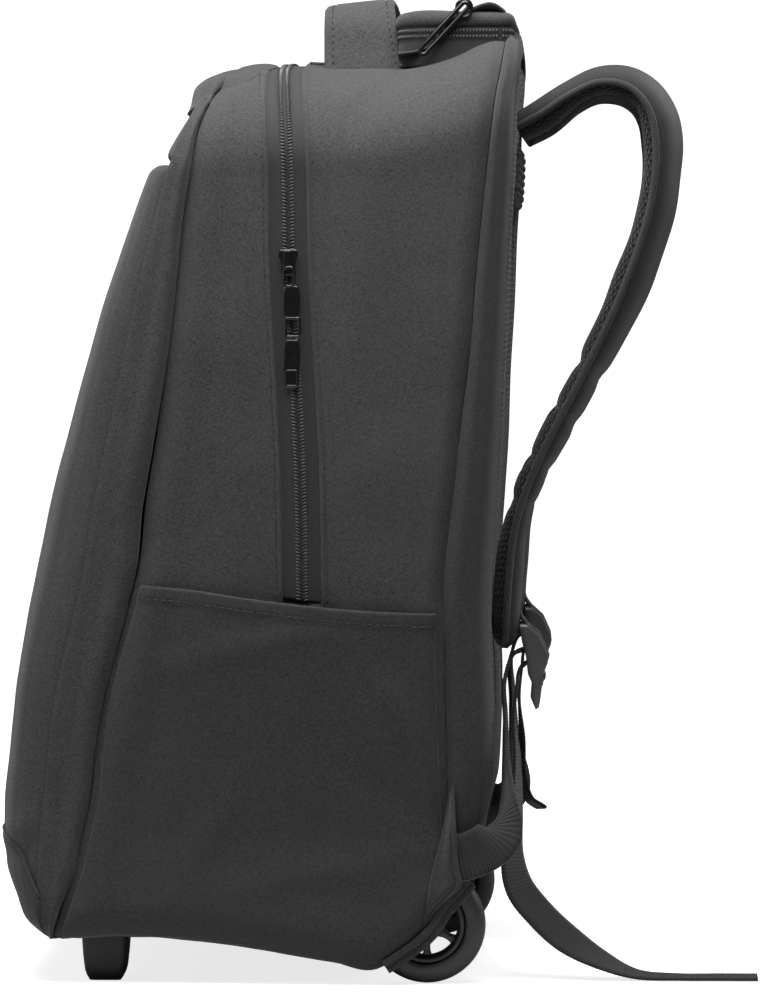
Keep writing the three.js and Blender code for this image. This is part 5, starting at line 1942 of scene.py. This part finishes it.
# In the photograph's frame: the top of the cloth corner beside the lid, and the side's top seam
LID_CORNER_LINE = table(
    "px high",
    (396, 56), (415, 53), (430, 48), (445, 38), (458, 24), (468, 13),
    (480, 7), (490, 5.5), (500, 10), (508, 18), (514, 28),
)
TOP_SEAM = table(
    "px high",
    (303, 64), (330, 63.5), (345, 61), (362, 61.5), (378, 64.5), (400, 62), (430, 61),
    (442, 56), (455, 49), (468, 43), (480, 38.5), (492, 35), (505, 33), (513, 34),
)
CORNER_FROM = 396
CORNER_TO = 513
PIPING_FROM = 303
PIPING_TO = 512

# The photograph's frame: millimetres to a pixel, and the pixels that lie at the bag's middle and foot
FRAME_SCALE = 0.5294
FRAME_LEFT = 381.1
FRAME_FOOT = 984.0


def frame_place(px, py):
    """A place in the photograph's frame as a side-view place on the bag."""
    return (np.asarray(px) - FRAME_LEFT) * FRAME_SCALE, (FRAME_FOOT - np.asarray(py)) * FRAME_SCALE


# How far the seam stands off the cloth, and between which places up the section's run it is looked for
SEAM_LIFT = 0.5
SEAM_RUN = (0.79, 0.97)


def top_seam(px):
    """Points of the seam along the side cloth's top edge: each lies on the main cloth at the height that the
    side view gives, found by reading the section's run at that height."""
    y, z = frame_place(px, read(TOP_SEAM, "px", "high", px))
    at = np.clip(share_between(y, z), 0, 1)
    p = np.linspace(*SEAM_RUN, 90)
    grid = main_points(at[:, None], p[None, :], SEAM_LIFT)
    run = np.array([np.interp(level, row[:, 2], p) for level, row in zip(z, grid)])
    points = main_points(at, run, SEAM_LIFT)
    points[:, 2] = np.maximum(points[:, 2], z)
    return points


# The cloth corner's top edge: how far out it stands, how it swells between, and its rolled edge
CORNER_OUT = 97.5
CORNER_SWELL = 1.4
CORNER_ROLL = 2.5


def lid_corner(side, word):
    """The soft cloth between the side's top seam and the lid: it rises to the near rear corner."""
    px = np.linspace(CORNER_FROM, CORNER_TO, 60)
    foot = top_seam(px)
    top = frame_place(px, read(LID_CORNER_LINE, "px", "high", px))[1]
    share = np.linspace(-0.25, 1, 26)[:, None]
    upper = np.clip(share, 0, 1)
    tall = np.maximum(top - foot[:, 2], 1.5)
    z = foot[None, :, 2] + tall * share
    x = mix(foot[None, :, 0], CORNER_OUT, upper**0.7) - 3 * np.clip(-share, 0, 1)
    y = foot[None, :, 1] + 0 * z
    x = x + CORNER_SWELL * np.sin(np.pi * upper) + lattice_noise(y, z, 9, 97) * 0.8
    x = x + rolled((1 - share) * tall, CORNER_ROLL)
    points = np.stack([side * x, y, z], -1)
    made = cloth_sheet("lid_corner_" + word, points, np.stack([y, z], -1), wall=1.2)
    return dressed(made, "bag", CLOTH, "cloth")


def round_rod(name, centres, radius, closed=False):
    """A round rod along points; a closed one meets itself."""
    ahead = unit(np.roll(centres, -1, 0) - np.roll(centres, 1, 0)) if closed else way_along(centres)
    level = unit(SIDEWAYS - ahead * ahead[:, :1])
    out = np.cross(level, ahead)
    return swept(name, centres, level, out, radius * hoop(10), ends=not closed, wrap=closed)


PIPING_RADIUS = 1.15
PIPING_LIFT = np.array([0.4, 0, 0.3])


def top_piping(side, word):
    """The sewn lip along the side cloth's top edge, behind the zip: a rod that wanders a little."""
    points = top_seam(np.linspace(PIPING_FROM, PIPING_TO, 170))
    wander = lattice_noise(points[:, 1] + 300, points[:, 0], 14, 99) * 0.6
    points = (points + PIPING_LIFT + UPWARDS * wander[:, None]) * np.array([side, 1, 1])
    made = round_rod("top_piping_" + word, points, PIPING_RADIUS)
    return dressed(made, "bag", CLOTH, "cloth")





def ring(name, middle, long, wide, corner, radius, lean=0.0):
    """A rod ring that lies in the side's plane, turned about the bag's width."""
    flat = rounded_box(wide, long, corner, 10)
    turn = np.radians(lean)
    y = middle[1] + flat[:, 0] * np.cos(turn) + flat[:, 1] * np.sin(turn)
    z = middle[2] - flat[:, 0] * np.sin(turn) + flat[:, 1] * np.cos(turn)
    return round_rod(name, np.column_stack([np.full(len(y), middle[0]), y, z]), radius, closed=True)


def pull_plate(name, middle, long, widths, thick, lean=0.0):
    """A plate in the side's plane with bevelled edges: its width is read down its length."""
    share = np.concatenate([[0, 0.02], np.linspace(0.06, 0.94, 14), [0.98, 1]])
    turn = np.radians(lean)
    down = np.array([0, -np.sin(turn), -np.cos(turn)])
    across = np.array([0, np.cos(turn), -np.sin(turn)])
    centres = np.array(middle) + (share[:, None] - 0.5) * long * down
    wide = np.interp(share, np.linspace(0, 1, len(widths)), widths)
    end = np.interp(share, [0, 0.04, 0.96, 1], [0.6, 1, 1, 0.6])
    profile = rounded_box(1, 1, 0.22)[None] * np.stack([wide * (0.3 + 0.7 * end), thick * end], -1)[:, None]
    return swept(name, centres, repeated(across, len(share)), repeated(SIDEWAYS, len(share)), profile)


# The pullers' pieces in the photograph's frame, and how far out of the side each one of the main zip lies
SLIDER_BASE_AT = (292, 267, -0.6)
SLIDER_TOP_AT = (291, 264, 1.0)
SLIDER_RING_AT = (293, 281, 1.2)
UPPER_PLATE_AT = (295.5, 306, 0.8)
SQUARE_LOOP_AT = (296.5, 331, 0.9)
LOWER_PLATE_AT = (295.5, 367, 0.8)
PLATE_OUTLINE_AT = (295.5, 381, 1.9)
LID_LOOP_AT = (443, 32)
LID_RING_AT = (463, 12)
LID_LOOP_OUT = 99.6
LID_RING_OUT = 99.4
LID_LOOP_LEAN = 43.0


def main_puller():
    """The main zip's slider, and its chain of a ring, a plate, a square loop and a longer plate."""
    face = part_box("zip_pull_right")[0].x / MM
    place = lambda px, py, out: (face + out, *frame_place(px, py))
    body = [
        pull_plate("base", place(*SLIDER_BASE_AT), long=13.8, widths=[9.6, 10.6, 7.6, 7.4, 8.6], thick=1.6),
        pull_plate("top", place(*SLIDER_TOP_AT), long=9.5, widths=[4.4, 3.4, 4.4], thick=1.4),
    ]
    dressed(joined("zip_slider_body", body), "bag", PULL, "pull_metal", "zip_slider_right")
    upper, lower = [6.4, 8.6, 8.8, 8.8, 6.8], [7.2, 8.4, 8.4, 8.0, 7.4]
    chain = [
        ring("ring", place(*SLIDER_RING_AT), long=10.0, wide=5.4, corner=2.6, radius=0.75),
        pull_plate("upper", place(*UPPER_PLATE_AT), long=17.0, widths=upper, thick=1.8, lean=1.0),
        ring("loop", place(*SQUARE_LOOP_AT), long=9.6, wide=7.2, corner=1.2, radius=0.8),
        pull_plate("lower", place(*LOWER_PLATE_AT), long=25.4, widths=lower, thick=1.8, lean=1.0),
        ring("outline", place(*PLATE_OUTLINE_AT), long=8.0, wide=5.6, corner=0.8, radius=0.45),
    ]
    dressed(joined("zip_pull_chain", chain), "bag", PULL, "pull_metal", "zip_pull_right")


def lid_puller():
    """The lid's zip puller: a long narrow loop of rod that leans on the cloth corner, and its ring."""
    middle = (LID_LOOP_OUT, *frame_place(*LID_LOOP_AT))
    loop = ring("loop", middle, long=36.0, wide=3.7, corner=1.8, radius=1.3, lean=LID_LOOP_LEAN)
    middle = (LID_RING_OUT, *frame_place(*LID_RING_AT))
    end = ring("ring", middle, long=9.0, wide=8.0, corner=3.8, radius=0.9)
    dressed(joined("lid_pull_loops", [loop, end]), "bag", PULL, "pull_metal", "lid_pull")


# The flap over the lower webbing's end: its two edges at each level
FLAP = table(
    "up left right",
    (0.1825, 0.872, 0.8745),
    (0.165, 0.863, 0.8755),
    (0.15, 0.858, 0.8765),
    (0.1154, 0.8467, 0.88),
    (0.081, 0.8314, 0.885),
    (0.07, 0.828, 0.8888),
    (0.0515, 0.823, 0.862),
    (0.0355, 0.82, 0.839),
    (0.0129, 0.808, 0.816),
    (0.006, 0.805, 0.807),
)
FLAP_LEAST = 1.9
FLAP_OVER_WEB = 2.3
FLAP_STRIP = 2.5
# The double hem over the wheel, in the photograph's frame
WHEEL_HEM = np.array([(468, 878), (460, 888), (446, 903), (431, 927), (420, 938), (408, 947), (385, 962)])


def side_surface(y, z):
    """How far out the main cloth's side lies at a side-view place, with the pocket's fullness."""
    at = np.clip(share_between(y, z), 0, 1)
    p = np.linspace(LEGS[1] * 0.9, LEGS[3], 120)
    flat = at.ravel()
    grid = main_points(flat[:, None], p[None, :], POCKET_LIFT, pocket_fullness(flat)[:, None])
    out = [np.interp(level, row[:, 2], row[:, 0]) for level, row in zip(z.ravel(), grid)]
    return np.array(out).reshape(at.shape)


def flap(side, word):
    """The sewn flap: thin at its front edge, lifted over the webbing, with a folded strip down its rear
    edge."""
    up = np.linspace(FLAP["up"].min(), FLAP["up"].max(), 70)[:, None]
    share = np.concatenate([np.linspace(0, 0.8, 20), np.linspace(0.83, 1, 10)])[None, :]
    left, right = read(FLAP, "up", "left", up), read(FLAP, "up", "right", up)
    y = along(mix(left, right, share))
    z = height(up) + 0 * y
    level = step(up, 0.03, 0.07) * (1 - step(up, 0.125, 0.19))
    surface = side_surface(y, z)
    over = np.maximum(WEB_SIDE + FLAP_OVER_WEB - surface, 2.6)
    lift = mix(FLAP_LEAST, over, step(share, 0.05, 0.6) * level) + rolled((share + 0 * up) * 14, 0.9)
    reach = (1 - share) * (along(right) - along(left))
    strip = 0.7 * (1 - step(reach, FLAP_STRIP - 0.3, FLAP_STRIP + 0.3))
    strip = strip + seam_dip(reach - FLAP_STRIP - 0.5, wide=0.5, deep=0.6) + rolled(reach, 0.8)
    x = surface + lift + strip + lattice_noise(y, z, 12, 93) * 0.5
    points = np.stack([side * x, y, z], -1)
    made = cloth_sheet("anchor_flap_" + word, points, np.stack([y, z], -1), wall=1.3)
    return dressed(made, "bag", DARK_CLOTH, "dark_cloth", "anchor_tab_" + word)


# The hem: its points, how often its corners are smoothed, and its bands' drops and insets
HEM_POINTS = 70
HEM_ROUNDS = 6
HEM_BANDS = ((-0.5, 0.0), (-4.2, 1.5))


def softened(values):
    """A row of values with its corners smoothed: each is blended with its neighbours a few times over."""
    for _ in range(HEM_ROUNDS):
        values[1:-1] = (values[:-2] + 2 * values[1:-1] + values[2:]) / 4
    return values


def wheel_hem(side, word):
    """Two folded bands of cloth, one below the other, round the bag's edge over the wheel."""
    run, keys = np.linspace(0, 1, HEM_POINTS), np.linspace(0, 1, len(WHEEL_HEM))
    y, z = (softened(np.interp(run, keys, values)) for values in frame_place(*WHEEL_HEM.T))
    way = unit(np.stack([0 * run, np.gradient(y), np.gradient(z)], -1))
    up = np.cross(way, side * SIDEWAYS)
    up *= np.sign(up[:, 2:] + TINY)
    x = side * (BAG_WIDTH / 2 - 4 + lattice_noise(run * 90, run, 14, 89) * 0.6)
    out = repeated(SIDEWAYS, HEM_POINTS)
    bands = []
    for drop, set_in in HEM_BANDS:
        centres = np.column_stack([x - side * set_in, y, z]) + up * drop
        bands.append(swept("hem_band", centres, up, out, rounded_box(4.2, 3.0, 1.3)))
    return dressed(joined("wheel_hem_" + word, bands), "bag", DARK_CLOTH, "dark_cloth")


# Running gear

WHEEL_RADIUS = 31.0
WHEEL_MIDDLE = 133.0
SPOKES = 6
TYRE_BORE = 20.3
# Half of the tyre's section: its radius, and the place across it
HALF_TYRE = [(20.6, -8.6), (21.4, -9.8), (23.0, -10), (25.6, -9.9), (28.2, -8.7), (30.0, -6.4), (30.8, -3.4)]
OTHER_HALF = [(radius, -across) for radius, across in reversed(HALF_TYRE)]
TYRE_SECTION = HALF_TYRE + [(WHEEL_RADIUS, 0)] + OTHER_HALF + [(TYRE_BORE, 0)]


TURNS = 96


def turned(name, profile, x, y, z):
    """A closed profile of (radius, across) pairs turned about an axle that runs across the bag."""
    cos, sin = hoop(TURNS).T[..., None]
    radius, across = np.asarray(profile, float).T
    points = np.stack(np.broadcast_arrays(x + across[None], y + radius * cos, z + radius * sin), -1)
    faces = grid_faces(TURNS, len(profile), wrap_rows=True, wrap_columns=True)
    made = mesh_object(name, points, faces, face_map(points))
    turn_out(made)
    return made


def ring_section(inner, outer, half, bevel=0.6):
    """A ring's section: a rectangle with its corners cut by a bevel."""
    side = [(inner, half - bevel), (inner + bevel, half), (outer - bevel, half), (outer, half - bevel)]
    return [(radius, -across) for radius, across in side] + side[::-1]


# The spokes: where they start and end, their section, and how they flare to both ends
SPOKE_FROM = 7.6
SPOKE_TO = 17.4
SPOKE_WIDE = 3.4
SPOKE_THICK = 6.6
SPOKE_FLARE = 0.9


def spoke(x, y, z, angle):
    """One spoke: it widens to both ends by the square of the distance from its middle."""
    way = np.array([0, np.cos(angle), np.sin(angle)])
    reach = np.linspace(SPOKE_FROM, SPOKE_TO, 8)
    centres = np.array([x, y, z]) + reach[:, None] * way
    flare = 1 + SPOKE_FLARE * ((reach - (SPOKE_FROM + SPOKE_TO) / 2) / 5) ** 2
    profile = rounded_box(SPOKE_WIDE, SPOKE_THICK, 0.8)[None] * np.stack([flare, 0 * flare + 1], -1)[:, None]
    across = np.array([0, -way[2], way[1]])
    return swept("spoke", centres, repeated(across, len(reach)), repeated(SIDEWAYS, len(reach)), profile)


def wheel(side, word):
    """A wheel: a round-shouldered tyre, a rim and a boss joined by spokes."""
    place = (side * WHEEL_MIDDLE, AXLE_Y, WHEEL_RADIUS)
    body = "wheel_" + word
    dressed(turned("tyre_" + word, TYRE_SECTION, *place), body, TYRE, "tyre", "wheel_tyre_" + word)
    parts = [
        turned("rim", ring_section(inner=17.2, outer=20.5, half=7.6), *place),
        turned("web", ring_section(inner=16.2, outer=17.6, half=4.0), *place),
        turned("boss", ring_section(inner=3.4, outer=8.4, half=5.6, bevel=0.8), *place),
    ]
    parts += [spoke(*place, 2 * np.pi * (k + 0.5) / SPOKES) for k in range(SPOKES)]
    dressed(joined("hub_" + word, parts), body, HUB, "base_plastic", "wheel_hub_" + word)


FOOT_SUNK = 6.0
FOOT_TAPER = 0.2
FOOT_TOE = 0.12
FOOT_ROUNDING = 0.14


def foot(word):
    """A blunt wedge of a foot, tapered to the floor, its edges rounded."""
    low, high = (np.array(v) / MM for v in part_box("foot_" + word))
    middle = (low + high) / 2
    share = np.linspace(0, 1, 12)
    z = (high[2] + FOOT_SUNK) * (1 - share)
    taper = 1 - FOOT_TAPER * share**2 - FOOT_TOE * step(share, 0.85, 1.0)
    centres = np.column_stack([repeated(middle[:2], len(share)), z])
    profile = rounded_box(1, 1, FOOT_ROUNDING, 6)[None] * (high - low)[:2] * taper[:, None, None]
    across, ahead = repeated(SIDEWAYS, len(share)), repeated(BACKWARDS, len(share))
    made = swept("foot_block_" + word, centres, across, ahead, profile)
    return dressed(made, "bag", BASE, "base_plastic", "foot_" + word)


def kept_nodes():
    """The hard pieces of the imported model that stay, with their finishes."""
    finishes = {"base_frame": BASE, "axle_right": STEEL, "axle_left": STEEL}
    for name, material in finishes.items():
        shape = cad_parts[name].data
        shape.materials.clear()
        shape.materials.append(material)


# The photograph's setting

def studio():
    """A pale floor, a soft overhead light, a front fill, a rear rim light and a white world."""
    bpy.ops.mesh.primitive_plane_add(size=30, location=(0, 0, -0.0002))
    floor = bpy.context.object
    floor.name = "studio_floor"
    paper, g, shader, _, place = new_material("studio_paper", 0.9, specular=0.1)
    fibre = g.noise(place, 30.0, 2.0, 0.5)
    g.tree.links.new(g.blend(fibre, grey(0.6), grey(0.64)), shader.inputs["Base Color"])
    shader.inputs["Emission Color"].default_value = (1, 1, 1, 1)
    seen = g.node("ShaderNodeLightPath").outputs["Is Camera Ray"]
    away = g.node("ShaderNodeVectorMath", {0: place}, operation="LENGTH").outputs["Value"]
    glow = g.spread(away, 0.45, 1.2, 0.78, 1.05)
    g.tree.links.new(g.math("MULTIPLY", seen, glow), shader.inputs["Emission Strength"])
    floor.data.materials.append(paper)
    area_light("overhead", (0.33, -0.06, 1.1), (0.0, 0.0, 0.4), (0.8, 0.8), 24)
    area_light("front_fill", (0.45, -1.6, 0.75), (0.0, 0.0, 0.25), (0.8, 1.2), 7)
    area_light("rear_rim", (-0.6, 1.3, 0.9), (0.0, 0.1, 0.3), (0.6, 0.9), 5)
    world = bpy.data.worlds.new("studio")
    bpy.context.scene.world = world
    world.use_nodes = True
    world.node_tree.nodes["Background"].inputs[0].default_value = (1, 1, 1, 1)
    g = Graph(world.node_tree)
    seen = g.node("ShaderNodeLightPath").outputs["Is Camera Ray"]
    level = g.spread(seen, 0.0, 1.0, 0.13, 1.2)
    g.tree.links.new(level, world.node_tree.nodes["Background"].inputs[1])
    bpy.context.scene.view_settings.view_transform = "Standard"


def area_light(name, place, target, size, watts):
    """A rectangular light that looks at a target."""
    data = bpy.data.lights.new(name, "AREA")
    data.shape = "RECTANGLE"
    data.size, data.size_y = size
    data.energy = watts
    made = bpy.data.objects.new(name, data)
    look = Vector(target) - Vector(place)
    made.location = place
    made.rotation_euler = look.to_track_quat("-Z", "Y").to_euler()
    bpy.context.scene.collection.objects.link(made)


# The photograph's frame and its angle
PHOTO_SIZE = (766, 1000)
PIXEL = 0.547
CAMERA_AZIMUTH = 92.0
CAMERA_RISE = 1.8
CAMERA_FAR = 3600.0
CAMERA_TARGET = (0.0, -3.2, 250.5)
SENSOR = 36.0


def photo_camera():
    """A camera on the photograph's azimuth and elevation; its lens takes in the photograph's frame."""
    turn, rise = np.radians(CAMERA_AZIMUTH), np.radians(CAMERA_RISE)
    way = np.array([np.sin(turn) * np.cos(rise), -np.cos(turn) * np.cos(rise), np.sin(rise)])
    place = np.array(CAMERA_TARGET) + way * CAMERA_FAR
    data = bpy.data.cameras.new("photo_camera")
    data.sensor_fit = "HORIZONTAL"
    data.sensor_width = SENSOR
    data.lens = SENSOR * CAMERA_FAR / (PHOTO_SIZE[0] * PIXEL)
    data.clip_end = 60
    made = bpy.data.objects.new("photo_camera", data)
    made.location = place * MM
    made.rotation_euler = (-Vector(way)).to_track_quat("-Z", "Y").to_euler()
    bpy.context.scene.collection.objects.link(made)
    bpy.context.scene.camera = made


photo_camera()
studio()
main_cloth()
zip_band()
zip_coil()
zip_stitches()
gusset_cloth()
front_layers()
back_side_cloth()
back_mesh()
ribbed_pad()
grab_handle()
lid_cloth()
lid_wall()
main_puller()
lid_puller()
for side, word, tail in ((1, "right", LONG_TAIL), (-1, "left", SHORT_TAIL)):
    side_pocket("pocket_cloth_" + word, side, "side_pocket_" + word)
    shoulder_strap("strap_" + word, side, "shoulder_strap_" + word)
    strap_webbing(side, word, tail)
    ladder_lock(side, word)
    wheel(side, word)
    foot(word)
    lid_corner(side, word)
    top_piping(side, word)
    flap(side, word)
    wheel_hem(side, word)
kept_nodes()
